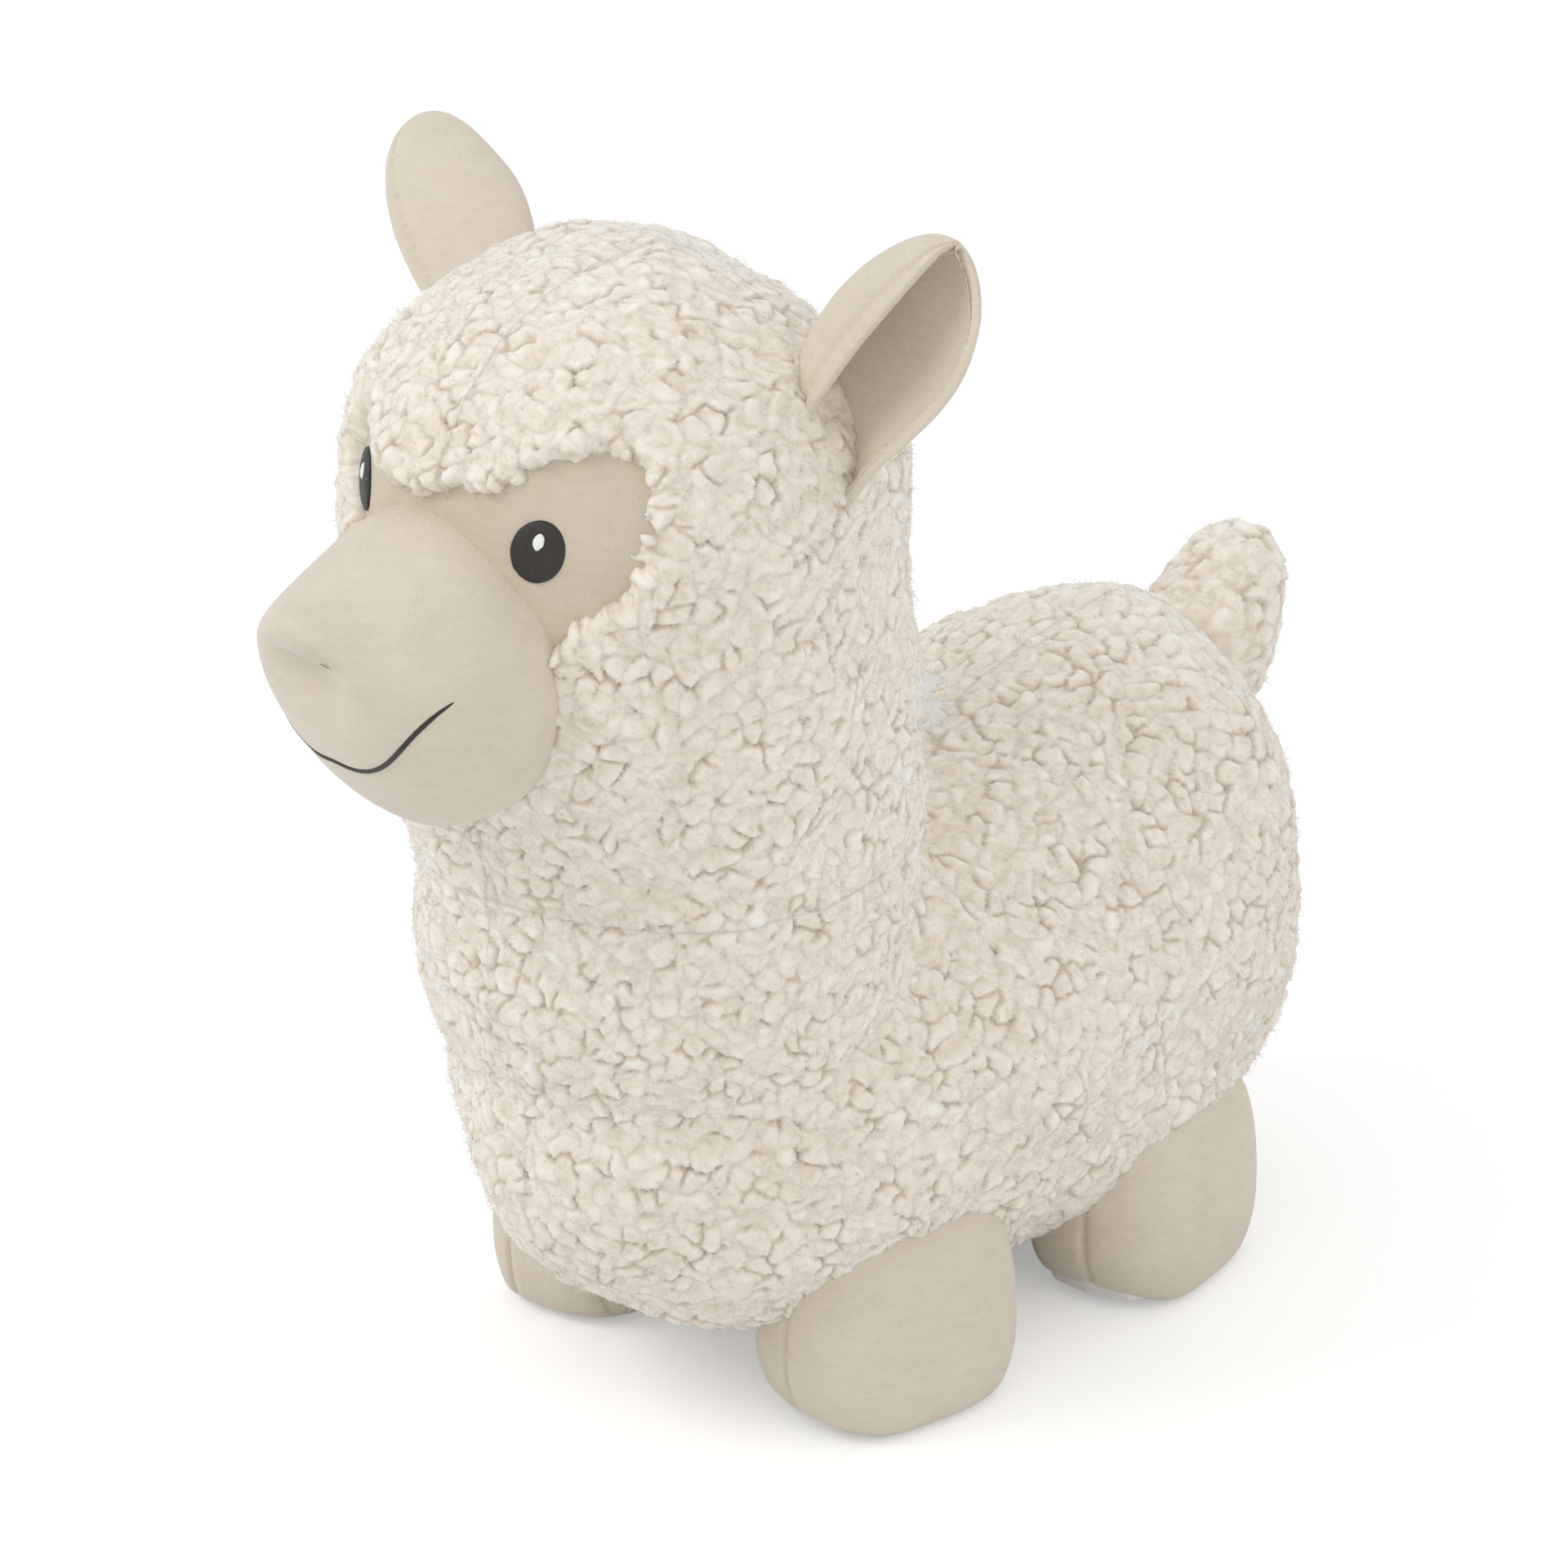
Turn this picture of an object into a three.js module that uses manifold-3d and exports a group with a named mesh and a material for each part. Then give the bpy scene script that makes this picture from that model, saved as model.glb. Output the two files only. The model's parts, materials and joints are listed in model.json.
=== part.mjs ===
// Plush alpaca dog toy, in millimetres, +Z up. It faces -Y and stands on the floor, z = 0.
// It is sewn from curly fleece (torso, neck, head, tail) and smooth velour (face, muzzle, ears,
// feet), packed with fibre, and holds a bellows squeaker in its belly.
import * as THREE from "three";
import { mergeVertices } from "three/addons/utils/BufferGeometryUtils.js";
import Module from "manifold-3d";

const wasm = await Module();
wasm.setup();

const radians = THREE.MathUtils.degToRad;

// Fabrics and clearances
const fleece = 8; // curly fleece, backing and pile together
const velour = 2; // smooth short-pile velour
const gap = 0.3; // between any two sewn or packed pieces
const pileSink = 6; // how far the velour face lies below the curls round it

// Torso: where its middle lies, and its half sizes
const torsoMiddle = new THREE.Vector3(0, 24.5, 73.5);
const torsoHalf = new THREE.Vector3(66, 112.5, 68);
const rumpRise = 13; // how much higher the back is at the rump
const rumpRiseFrom = 20; // y, where the rise begins
const rumpRiseTo = 105;
const torsoFrontFullness = 2.3;
const torsoRearFullness = 3.6;
const torsoSectionFullness = 2.2;

// Neck and head, one stuffed column over a ball that sits in the torso
const neckPivot = new THREE.Vector3(0, -40, 121);
const neckRadius = 57.5;
const headMiddle = new THREE.Vector3(0, -53, 229); // at the head's widest level
const headRadius = 62.5;
const crownHeight = 56; // from the widest level to the top
const neckSwing = 8; // degrees, each way
const socketRoom = 1.1; // round the ball, so that its flats clear the socket's

// Face panel: its outline from the front, x and z, from the forehead round the left eye
const faceOutline = [
  [0, 243],
  [13, 247],
  [20.5, 250.5],
  [27.5, 255.5],
  [33, 258],
  [39, 257],
  [43.6, 253],
  [46.8, 246],
  [47.3, 238],
  [46.3, 231],
  [42.7, 225],
  [36, 219],
  [30.4, 209],
  [17.5, 204],
];
const faceTurn = -4; // degrees, the face looks a little to its right

// Muzzle: how far back it starts, how far it stands out, its half width, its chin and its height
const muzzle = { back: -78, reach: 68, halfWidth: 32.8, chin: 168, height: 70 };
// For each share of the reach: share of the half width, lowest and highest share of the height
const muzzleSections = [
  [0, 0.776, 0.164, 0.881],
  [0.246, 0.925, 0.045, 0.985],
  [0.377, 0.985, 0, 1],
  [0.507, 1, 0, 0.985],
  [0.623, 0.955, 0.035, 0.94],
  [0.754, 0.851, 0.157, 0.885],
  [0.87, 0.701, 0.328, 0.836],
  [0.957, 0.522, 0.493, 0.8],
  [1, 0.373, 0.612, 0.776],
];
const muzzleStations = muzzleSections.map(([out, wide, low, high]) => [
  muzzle.back - out * muzzle.reach,
  wide * muzzle.halfWidth,
  muzzle.chin + low * muzzle.height,
  muzzle.chin + high * muzzle.height,
]);
const muzzleFullness = { upper: 1.8, lower: 2.2 };

// Eyes and mouth, embroidered
const eye = { x: 27.5, z: 235.6, halfWidth: 6, halfHeight: 6.8, turn: 29.1 }; // turn: degrees outwards
const glint = { x: 0.8, z: 2.7, halfWidth: 1.3, halfHeight: 1.9 }; // from the eye's middle
const stitchHeight = 0.7; // an eye's rise over the velour
const stitchDepth = 0.5;
const mouth = { aboveChin: 18.6, cornerX: 29, cornerRise: 22.5, bend: 2.4, radius: 0.8 };

// Ears: cupped leaves of two velour layers, each on the crown by its angles and depth
const earAround = radians(13.5); // from straight sideways towards the back
const earUp = radians(26.7); // above the head's widest level
const earSeat = 5; // how deep below the crown's skin the ear bends
const earLength = 50.5;
const earRoot = 18; // length of the leaf below its base, trimmed inside the fleece
const earSewn = 4; // how deep the ear is sewn into the fleece
const earRoom = 1; // round an ear's root in the fleece, where it bends
const earLayer = 1.3;
const earRest = { left: { lean: 24, back: 18 }, right: { lean: 56, back: 30 } }; // degrees
const earEdges = { front: 100, rear: 345 }; // degrees round the cup, where its rim begins and ends
const earForward = 20; // degrees of flop
const earBackward = 30;
const earStations = [
  // height share, half width across, half thickness, drift outwards
  [0, 14.5, 8, 0],
  [0.2, 16.5, 8.6, 0.6],
  [0.42, 18, 9, 1.6],
  [0.62, 17.2, 8.6, 2.6],
  [0.8, 14, 7.6, 3],
  [0.92, 9.6, 6.2, 2.6],
  [1, 5, 4.6, 2],
];

// Tail
const tailRoot = new THREE.Vector3(0, 131, 112);
const tailEnd = { low: -10, high: 47 }; // from the root, along the tail
const tailHalfWidth = 14;
const tailHalfThickness = 12.5;
const tailBack = 37; // degrees from upright
const tailSwing = 15; // degrees, each way
const tailPile = 5;

// Feet
const feet = {
  front: { x: 41, y: -12, toeOut: -10 },
  rear: { x: 41, y: 74, toeOut: 12 },
};
const footHalfWidth = 21.5;
const footHalfLength = 29.5;
const footFullness = 2.8;
const footProfile = [
  // height, share of the full section
  [-0.5, 0.82],
  [3, 0.92],
  [13, 1],
  [29, 0.985],
  [42, 0.87],
  [51.5, 0.5],
];
const footGussetHalfWidth = 8.5; // the strip down the toe, under the sole and up the heel
const footPivotZ = 34;
const footSwing = 9; // degrees, each way

// Squeaker, a bellows puck
const squeaker = new THREE.Vector3(0, 40, 44); // its lowest level
const squeakerRadius = 19;
const squeakerBase = 3;
const bellowsHeight = 18;
const bellowsFolds = 4;
const bellowsWall = 1.2;
const bellowsFold = 3; // how far each fold goes in
const squeakerCap = 2.5;
const reedRadius = 5;
const reedBore = 2.5;
const reedHeight = 8;
const pocketRoom = 2; // soft room that the fibre leaves round the squeaker

// The bounding box's middle goes over the origin
const placement = new THREE.Vector3(6.4, -8, 0);

const X = new THREE.Vector3(1, 0, 0);
const reach = 400; // larger than the toy, for cutting tools

const finish = (color, roughness) => new THREE.MeshStandardMaterial({ color, roughness, metalness: 0 });
const fleeceMaterial = finish(0xe6dccf, 0.95);
const velourMaterial = finish(0xd3c8b6, 0.85);
const fibreMaterial = finish(0xf4f2ee, 1);
const threadMaterial = finish(0x1c1814, 0.6);
const glintMaterial = finish(0xf7f7f5, 0.5);
const plasticMaterial = finish(0xeceae4, 0.4);

// Solids

function solid(geometry) {
  const bare = geometry.clone();
  for (const name of Object.keys(bare.attributes)) {
    if (name !== "position") bare.deleteAttribute(name);
  }
  const merged = mergeVertices(bare, 1e-4);
  return new wasm.Manifold(
    new wasm.Mesh({
      numProp: 3,
      vertProperties: new Float32Array(merged.attributes.position.array),
      triVerts: new Uint32Array(merged.index.array),
    }),
  );
}

function geometryOf(body) {
  const mesh = body.getMesh();
  const positions = new Float32Array(mesh.numVert * 3);
  for (let i = 0; i < mesh.numVert; i += 1) {
    positions.set(mesh.vertProperties.subarray(i * mesh.numProp, i * mesh.numProp + 3), i * 3);
  }
  const geometry = new THREE.BufferGeometry();
  geometry.setAttribute("position", new THREE.BufferAttribute(positions, 3));
  geometry.setIndex(new THREE.BufferAttribute(new Uint32Array(mesh.triVerts), 1));
  geometry.computeVertexNormals();
  return geometry;
}

// A closed skin through rings of equal point counts. Each end closes on the ring's middle.
function loft(rings) {
  const sides = rings[0].length;
  const points = rings.flat();
  const faces = [];
  for (let r = 0; r + 1 < rings.length; r += 1) {
    for (let s = 0; s < sides; s += 1) {
      const a = r * sides + s;
      const b = r * sides + ((s + 1) % sides);
      faces.push(a, b, b + sides, a, b + sides, a + sides);
    }
  }
  const middle = (ring) => ring.reduce((sum, p) => sum.add(p), new THREE.Vector3()).divideScalar(sides);
  const first = points.push(middle(rings[0])) - 1;
  const last = points.push(middle(rings[rings.length - 1])) - 1;
  const top = (rings.length - 1) * sides;
  for (let s = 0; s < sides; s += 1) {
    const next = (s + 1) % sides;
    faces.push(first, next, s);
    faces.push(last, top + s, top + next);
  }
  const geometry = new THREE.BufferGeometry().setFromPoints(points);
  geometry.setIndex(faces);
  const body = solid(geometry);
  if (body.volume() > 0) return body;
  for (let i = 0; i < faces.length; i += 3) [faces[i], faces[i + 1]] = [faces[i + 1], faces[i]];
  geometry.setIndex(faces);
  return solid(geometry);
}

// A point of a superellipse, as shares of its two half sizes.
function superellipse(angle, fullness) {
  const rounded = (v) => Math.sign(v) * Math.pow(Math.abs(v), 2 / fullness);
  return [rounded(Math.cos(angle)), rounded(Math.sin(angle))];
}

function ringOf(sides, place) {
  return Array.from({ length: sides }, (unused, s) => place((2 * Math.PI * (s + 0.5)) / sides));
}

const swell = (t, fullness) => Math.pow(1 - Math.pow(Math.abs(t), fullness), 1 / fullness);
const ease = (from, to, share) => from + (to - from) * THREE.MathUtils.smoothstep(share, 0, 1);

function block(x0, y0, z0, x1, y1, z1) {
  const geometry = new THREE.BoxGeometry(x1 - x0, y1 - y0, z1 - z0);
  geometry.translate((x0 + x1) / 2, (y0 + y1) / 2, (z0 + z1) / 2);
  return solid(geometry);
}

function cylinder(radius, height, sides, base) {
  const geometry = new THREE.CylinderGeometry(radius, radius, height, sides);
  geometry.rotateX(Math.PI / 2);
  geometry.translate(base.x, base.y, base.z + height / 2);
  return solid(geometry);
}

function ball(middle, radius, sides, rows) {
  const geometry = new THREE.SphereGeometry(radius, sides, rows);
  geometry.rotateX(Math.PI / 2);
  geometry.translate(middle.x, middle.y, middle.z);
  return solid(geometry);
}

const leftSide = block(gap / 2, -reach, -reach, reach, reach, reach);
const rightSide = block(-reach, -reach, -reach, -gap / 2, reach, reach);
const aboveFloor = block(-reach, -reach, 0, reach, reach, reach);

function turnedAbout(pivot, axis, angle) {
  return new THREE.Matrix4()
    .makeTranslation(pivot.x, pivot.y, pivot.z)
    .multiply(new THREE.Matrix4().makeRotationAxis(axis, radians(angle)))
    .multiply(new THREE.Matrix4().makeTranslation(-pivot.x, -pivot.y, -pivot.z));
}

const faceFrame = turnedAbout(headMiddle, new THREE.Vector3(0, 0, 1), faceTurn).elements;

// All the space that a body passes through as it turns from one limit to the other.
function swept(body, pivot, axis, low, high, steps) {
  let space = body;
  for (let i = 0; i <= steps; i += 1) {
    const angle = low + ((high - low) * i) / steps;
    space = space.add(body.transform(turnedAbout(pivot, axis, angle).elements));
  }
  return space;
}

// The largest of a body's loose pieces: a cut can leave crumbs.
function whole(body) {
  return body.decompose().reduce((best, next) => (next.volume() > best.volume() ? next : best));
}

// Stuffed forms. inset shrinks a form all round, and a negative inset makes it larger.

function torsoForm(inset) {
  const rings = [];
  const count = 12;
  for (let r = 1; r < count; r += 1) {
    const t = -Math.cos((Math.PI * r) / count);
    const wide = swell(t, t < 0 ? torsoFrontFullness : torsoRearFullness);
    const y = torsoMiddle.y + (torsoHalf.y - inset) * t;
    const rise = rumpRise * THREE.MathUtils.smoothstep(y, rumpRiseFrom, rumpRiseTo) * wide;
    rings.push(
      ringOf(22, (angle) => {
        const [across, up] = superellipse(angle, torsoSectionFullness);
        return new THREE.Vector3(
          (torsoHalf.x - inset) * wide * across,
          y,
          torsoMiddle.z + ((torsoHalf.z - inset) * wide + (up > 0 ? rise : 0)) * up,
        );
      }),
    );
  }
  return loft(rings);
}

function headForm(inset) {
  const rings = [];
  const ring = (y, z, radius) => {
    rings.push(
      ringOf(22, (angle) => new THREE.Vector3(radius * Math.cos(angle), y + radius * Math.sin(angle), z)),
    );
  };
  const ballRings = 4;
  for (let i = 1; i <= ballRings; i += 1) {
    const angle = (Math.PI / 2) * (i / ballRings);
    const radius = neckRadius - inset;
    ring(neckPivot.y, neckPivot.z - radius * Math.cos(angle), radius * Math.sin(angle));
  }
  const columnRings = 3;
  for (let i = 1; i <= columnRings; i += 1) {
    const share = i / columnRings;
    const z = neckPivot.z + (headMiddle.z - neckPivot.z) * share;
    ring(ease(neckPivot.y, headMiddle.y, share), z, ease(neckRadius, headRadius, share) - inset);
  }
  const crownRings = 6;
  for (let i = 1; i < crownRings; i += 1) {
    const angle = (Math.PI / 2) * (i / crownRings);
    const z = headMiddle.z + (crownHeight - inset) * Math.sin(angle);
    ring(headMiddle.y, z, (headRadius - inset) * Math.cos(angle));
  }
  return loft(rings);
}

function muzzleAhead(inset) {
  const last = muzzleStations.length - 1;
  return loft(
    muzzleStations.map(([y, halfWidth, low, high], i) =>
      ringOf(16, (angle) => {
        const fullness = Math.sin(angle) > 0 ? muzzleFullness.upper : muzzleFullness.lower;
        const [across, up] = superellipse(angle, fullness);
        return new THREE.Vector3(
          (halfWidth - inset) * across,
          i === last ? y + inset : y,
          (low + high) / 2 + ((high - low) / 2 - inset) * up,
        );
      }),
    ),
  );
}

function muzzleForm(inset) {
  return muzzleAhead(inset).transform(faceFrame);
}

function footForm(side, end, inset) {
  const { x, y, toeOut } = feet[end];
  const turn = new THREE.Matrix4().makeRotationZ(radians(side * toeOut));
  const last = footProfile.length - 1;
  return loft(
    footProfile.map(([z, share], i) =>
      ringOf(14, (angle) => {
        const [across, along] = superellipse(angle, footFullness);
        const level = i === 0 ? z + inset : z;
        return new THREE.Vector3(
          (footHalfWidth * share - inset) * across,
          (footHalfLength * share - inset) * along,
          i === last ? z - inset : level,
        )
          .applyMatrix4(turn)
          .add(new THREE.Vector3(side * x, y, 0));
      }),
    ),
  );
}

function tailForm(inset) {
  const lean = new THREE.Matrix4()
    .makeTranslation(tailRoot.x, tailRoot.y, tailRoot.z)
    .multiply(new THREE.Matrix4().makeRotationX(radians(-tailBack)));
  const rings = [];
  const middle = (tailEnd.low + tailEnd.high) / 2;
  const count = 7;
  for (let r = 1; r < count; r += 1) {
    const t = -Math.cos((Math.PI * r) / count);
    const wide = swell(t, 2.4);
    rings.push(
      ringOf(12, (angle) =>
        new THREE.Vector3(
          (tailHalfWidth - inset) * wide * Math.cos(angle),
          (tailHalfThickness - inset) * wide * Math.sin(angle),
          middle + (tailEnd.high - middle - inset) * t,
        ).applyMatrix4(lean),
      ),
    );
  }
  return loft(rings);
}

// Ears

const earLevel = (headRadius - earSeat) * Math.cos(earUp); // from the head's upright axis
const earBase = new THREE.Vector3(
  earLevel * Math.cos(earAround),
  headMiddle.y + earLevel * Math.sin(earAround),
  headMiddle.z + (crownHeight - earSeat) * Math.sin(earUp),
);

// The leaf's own frame: across the leaf, through it to the front, and along it.
function earFrame(side) {
  const { lean, back } = side > 0 ? earRest.left : earRest.right;
  return new THREE.Matrix4()
    .makeTranslation(side * earBase.x, earBase.y, earBase.z)
    .multiply(new THREE.Matrix4().makeRotationX(radians(-back)))
    .multiply(new THREE.Matrix4().makeRotationY(radians(side * lean)));
}

function earPoint(side, frame, share, halfWidth, halfThickness, drift, angle) {
  const across = side * (drift + halfWidth * Math.cos(angle));
  const height = share < 0 ? share * earRoot : share * earLength;
  return new THREE.Vector3(across, -halfThickness * Math.sin(angle), height).applyMatrix4(frame);
}

const earRings = [[-1, ...earStations[0].slice(1)], ...earStations];

// One layer of the leaf, between two insets from its outer skin.
function earLayerForm(side, outer, inner) {
  const frame = earFrame(side);
  const steps = 9;
  const rings = earRings.map(([share, halfWidth, halfThickness, drift]) => {
    const arc = (inset) =>
      Array.from({ length: steps + 1 }, (unused, i) => {
        const angle = radians(earEdges.front + ((earEdges.rear - earEdges.front) * i) / steps);
        return earPoint(side, frame, share, halfWidth - inset, halfThickness - inset, drift, angle);
      });
    return [...arc(outer), ...arc(inner).reverse()];
  });
  const sides = rings[0].length;
  const points = rings.flat();
  const faces = [];
  for (let r = 0; r + 1 < rings.length; r += 1) {
    for (let s = 0; s < sides; s += 1) {
      const a = r * sides + s;
      const b = r * sides + ((s + 1) % sides);
      faces.push(a, b, b + sides, a, b + sides, a + sides);
    }
  }
  const top = (rings.length - 1) * sides;
  for (let s = 0; s < steps; s += 1) {
    const [a, b, c, d] = [s, s + 1, sides - 2 - s, sides - 1 - s];
    faces.push(a, c, b, a, d, c);
    faces.push(top + a, top + b, top + c, top + a, top + c, top + d);
  }
  if (side > 0) {
    for (let i = 0; i < faces.length; i += 3) [faces[i], faces[i + 1]] = [faces[i + 1], faces[i]];
  }
  const geometry = new THREE.BufferGeometry().setFromPoints(points);
  geometry.setIndex(faces);
  const body = solid(geometry);
  return body;
}

// The whole of a leaf's root, filled, for the pocket that it is sewn into.
function earRootForm(side) {
  const frame = earFrame(side);
  return loft(
    earRings.slice(0, 4).map(([share, halfWidth, halfThickness, drift]) =>
      ringOf(20, (angle) =>
        earPoint(side, frame, share, halfWidth + earRoom, halfThickness + earRoom, drift, angle),
      ),
    ),
  );
}

// Prisms along the way that the face looks

function prism(outline, y0, y1) {
  const ring = (y) => outline.map(([x, z]) => new THREE.Vector3(x, y, z));
  return loft([ring(y0), ring(y1)]).transform(faceFrame);
}

function grown(outline, by) {
  const middleZ = 232;
  return outline.map(([x, z]) => {
    const away = Math.hypot(x, z - middleZ);
    return [x + (by * x) / away, z + (by * (z - middleZ)) / away];
  });
}

const leftFace = faceOutline.slice(1);
const face = [...faceOutline, ...leftFace.map(([x, z]) => [-x, z]).reverse()];

// An upright elliptical pin that stands on the head at x and z, turned outwards.
function pin(side, centre, halfWidth, halfHeight, sides) {
  const geometry = new THREE.CylinderGeometry(1, 1, headRadius, sides);
  geometry.scale(halfWidth, 1, halfHeight);
  const radius = headRadius - pileSink;
  const depth = Math.sqrt(radius * radius - centre.x * centre.x);
  geometry.rotateZ(radians(side * eye.turn));
  geometry.translate(side * centre.x, headMiddle.y - depth, centre.z);
  return solid(geometry).transform(faceFrame);
}

// The toy

const toy = new THREE.Group();
function piece(name, body, material) {
  const mesh = new THREE.Mesh(geometryOf(whole(body)), material);
  mesh.name = name;
  mesh.geometry.translate(placement.x, placement.y, placement.z);
  toy.add(mesh);
}

const sideName = { 1: "left", "-1": "right" };
const halfOf = { 1: leftSide, "-1": rightSide };

// Head, with the spaces that other pieces need in it
const headSkin = headForm(0);
const headUnderFleece = headForm(fleece);
const faceLevel = headForm(pileSink);
const muzzleSpace = muzzleForm(-gap).subtract(faceLevel);
const frontOnly = block(-reach, -reach, -reach, reach, headMiddle.y, reach);
const faceSpace = prism(grown(face, gap), -reach, headMiddle.y);
const earSpaces = [1, -1].map((side) => {
  const hinge = new THREE.Vector3().setFromMatrixPosition(earFrame(side));
  const axis = new THREE.Vector3().setFromMatrixColumn(earFrame(side), 0);
  const root = earRootForm(side).subtract(headForm(earSewn + gap));
  return swept(root, hinge, axis, -earBackward, earForward, 5);
});
const headSpaces = earSpaces.reduce((sum, next) => sum.add(next), muzzleSpace.add(faceSpace));
const headCover = headSkin.subtract(headUnderFleece).subtract(headSpaces);
for (const side of [1, -1]) {
  piece("head_cover_" + sideName[side], headCover.intersect(halfOf[side]), fleeceMaterial);
}
const headFilling = earSpaces.reduce((rest, space) => rest.subtract(space), headForm(fleece + gap));
piece("head_filling", headFilling, fibreMaterial);

// Face
const eyePins = [1, -1].map((side) => pin(side, eye, eye.halfWidth, eye.halfHeight, 18));
const eyeWells = [1, -1].map((side) =>
  pin(side, eye, eye.halfWidth + gap / 2, eye.halfHeight + gap / 2, 18).subtract(
    headForm(pileSink + stitchDepth + gap),
  ),
);
const facePanel = faceLevel.subtract(headUnderFleece).intersect(prism(face, -reach, headMiddle.y));
piece("face_panel", facePanel.subtract(eyeWells[0]).subtract(eyeWells[1]), velourMaterial);
const stitchLayer = headForm(pileSink - stitchHeight).subtract(headForm(pileSink + stitchDepth));
[1, -1].forEach((side, i) => {
  const centre = { x: eye.x + glint.x, z: eye.z + glint.z };
  const glintPin = pin(side, centre, glint.halfWidth, glint.halfHeight, 12).intersect(frontOnly);
  const glintWell = pin(side, centre, glint.halfWidth + gap / 2, glint.halfHeight + gap / 2, 12);
  const eyePin = eyePins[i].intersect(frontOnly).subtract(muzzleSpace);
  piece("eye_" + sideName[side], eyePin.intersect(stitchLayer).subtract(glintWell), threadMaterial);
  piece("eye_glint_" + sideName[side], glintPin.intersect(stitchLayer), glintMaterial);
});

// Muzzle and mouth
const muzzleSkin = muzzleForm(0);
const muzzleMesh = new THREE.Mesh(geometryOf(muzzleAhead(0)));
muzzleMesh.material.side = THREE.DoubleSide;
function onMuzzle(x, z) {
  const ray = new THREE.Raycaster(new THREE.Vector3(x, -reach, z), new THREE.Vector3(0, 1, 0));
  return ray.intersectObject(muzzleMesh)[0].point;
}
const mouthSteps = 12;
const mouthPath = Array.from({ length: mouthSteps + 1 }, (unused, i) => {
  const share = -1 + (2 * i) / mouthSteps;
  const z = muzzle.chin + mouth.aboveChin + mouth.cornerRise * Math.abs(share) ** mouth.bend;
  return onMuzzle(mouth.cornerX * share, z);
});
function mouthThread(radius, over) {
  return loft(
    mouthPath.map((point, i) => {
      const next = mouthPath[Math.min(i + 1, mouthSteps)];
      const along = next.clone().sub(mouthPath[Math.max(i - 1, 0)]).normalize();
      const out = new THREE.Vector3(0, -1, 0).addScaledVector(along, along.y).normalize();
      const across = new THREE.Vector3().crossVectors(along, out);
      const overrun = i === 0 ? -over : i === mouthSteps ? over : 0;
      return ringOf(6, (angle) =>
        point
          .clone()
          .addScaledVector(along, overrun)
          .addScaledVector(out, radius * Math.cos(angle))
          .addScaledVector(across, radius * Math.sin(angle)),
      );
    }),
  ).transform(faceFrame);
}
const muzzleBack = headForm(pileSink - gap);
const mouthSpace = mouthThread(mouth.radius + gap, gap);
const muzzleCover = muzzleSkin.subtract(muzzleBack).subtract(muzzleForm(velour)).subtract(mouthSpace);
piece("muzzle_cover", muzzleCover, velourMaterial);
piece("muzzle_filling", muzzleForm(velour + gap).subtract(muzzleBack).subtract(mouthSpace), fibreMaterial);
piece("mouth_stitch", mouthThread(mouth.radius, 0), threadMaterial);

// Ears
for (const side of [1, -1]) {
  const sewn = headForm(earSewn);
  const backInset = earLayer;
  const liningInset = backInset + gap;
  piece("ear_back_" + sideName[side], earLayerForm(side, 0, backInset).subtract(sewn), velourMaterial);
  piece(
    "ear_lining_" + sideName[side],
    earLayerForm(side, liningInset, liningInset + earLayer).subtract(sewn),
    velourMaterial,
  );
}

// Spaces in the torso for the neck, the feet and the tail as they move
const aboveNeckPivot = block(-reach, -reach, neckPivot.z, reach, reach, reach);
const column = swept(headForm(-gap).intersect(aboveNeckPivot), neckPivot, X, -neckSwing, neckSwing, 2);
const neckSpace = column.add(ball(neckPivot, neckRadius + socketRoom, 32, 16));
const footSpaces = [];
for (const side of [1, -1]) {
  for (const end of ["front", "rear"]) {
    const pivot = new THREE.Vector3(side * feet[end].x, feet[end].y, footPivotZ);
    footSpaces.push(swept(footForm(side, end, -gap), pivot, X, -footSwing, footSwing, 2));
  }
}
const tailSpace = swept(tailForm(-gap), tailRoot, X, -tailSwing, tailSwing, 2);
const torsoSpaces = [...footSpaces, tailSpace].reduce((sum, next) => sum.add(next), neckSpace);

// Torso
const torsoCover = torsoForm(0).subtract(torsoForm(fleece)).subtract(torsoSpaces);
for (const side of [1, -1]) {
  piece("torso_cover_" + sideName[side], torsoCover.intersect(halfOf[side]), fleeceMaterial);
}
const squeakerHeight = squeakerBase + bellowsHeight + squeakerCap + 2 * gap;
const pocketBase = squeaker.clone().setZ(squeaker.z - gap);
const pocket = cylinder(squeakerRadius + pocketRoom, squeakerHeight + 2 * gap, 24, pocketBase);
const torsoFilling = torsoForm(fleece + gap).subtract(torsoSpaces).subtract(pocket);
const fillingFront = block(-reach, -reach, -reach, reach, squeaker.y - gap / 2, reach);
const fillingRear = block(-reach, squeaker.y + gap / 2, -reach, reach, reach, reach);
piece("torso_filling_front", torsoFilling.intersect(fillingFront), fibreMaterial);
piece("torso_filling_rear", torsoFilling.intersect(fillingRear), fibreMaterial);

// Squeaker
const bellowsBase = squeaker.z + squeakerBase + gap;
const reedHole = cylinder(reedBore, reach, 16, new THREE.Vector3(squeaker.x, squeaker.y, -reach / 2));
piece("squeaker_base", cylinder(squeakerRadius, squeakerBase, 24, squeaker).subtract(reedHole), plasticMaterial);
const reedFoot = new THREE.Vector3(squeaker.x, squeaker.y, bellowsBase);
piece("squeaker_reed", cylinder(reedRadius, reedHeight, 16, reedFoot).subtract(reedHole), plasticMaterial);
const bellowsProfile = (inset) =>
  Array.from({ length: 2 * bellowsFolds + 1 }, (unused, i) => {
    const folded = i % 2 === 1 ? bellowsFold : 0;
    return [squeakerRadius - folded - inset, bellowsBase + (bellowsHeight * i) / (2 * bellowsFolds)];
  });
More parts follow.
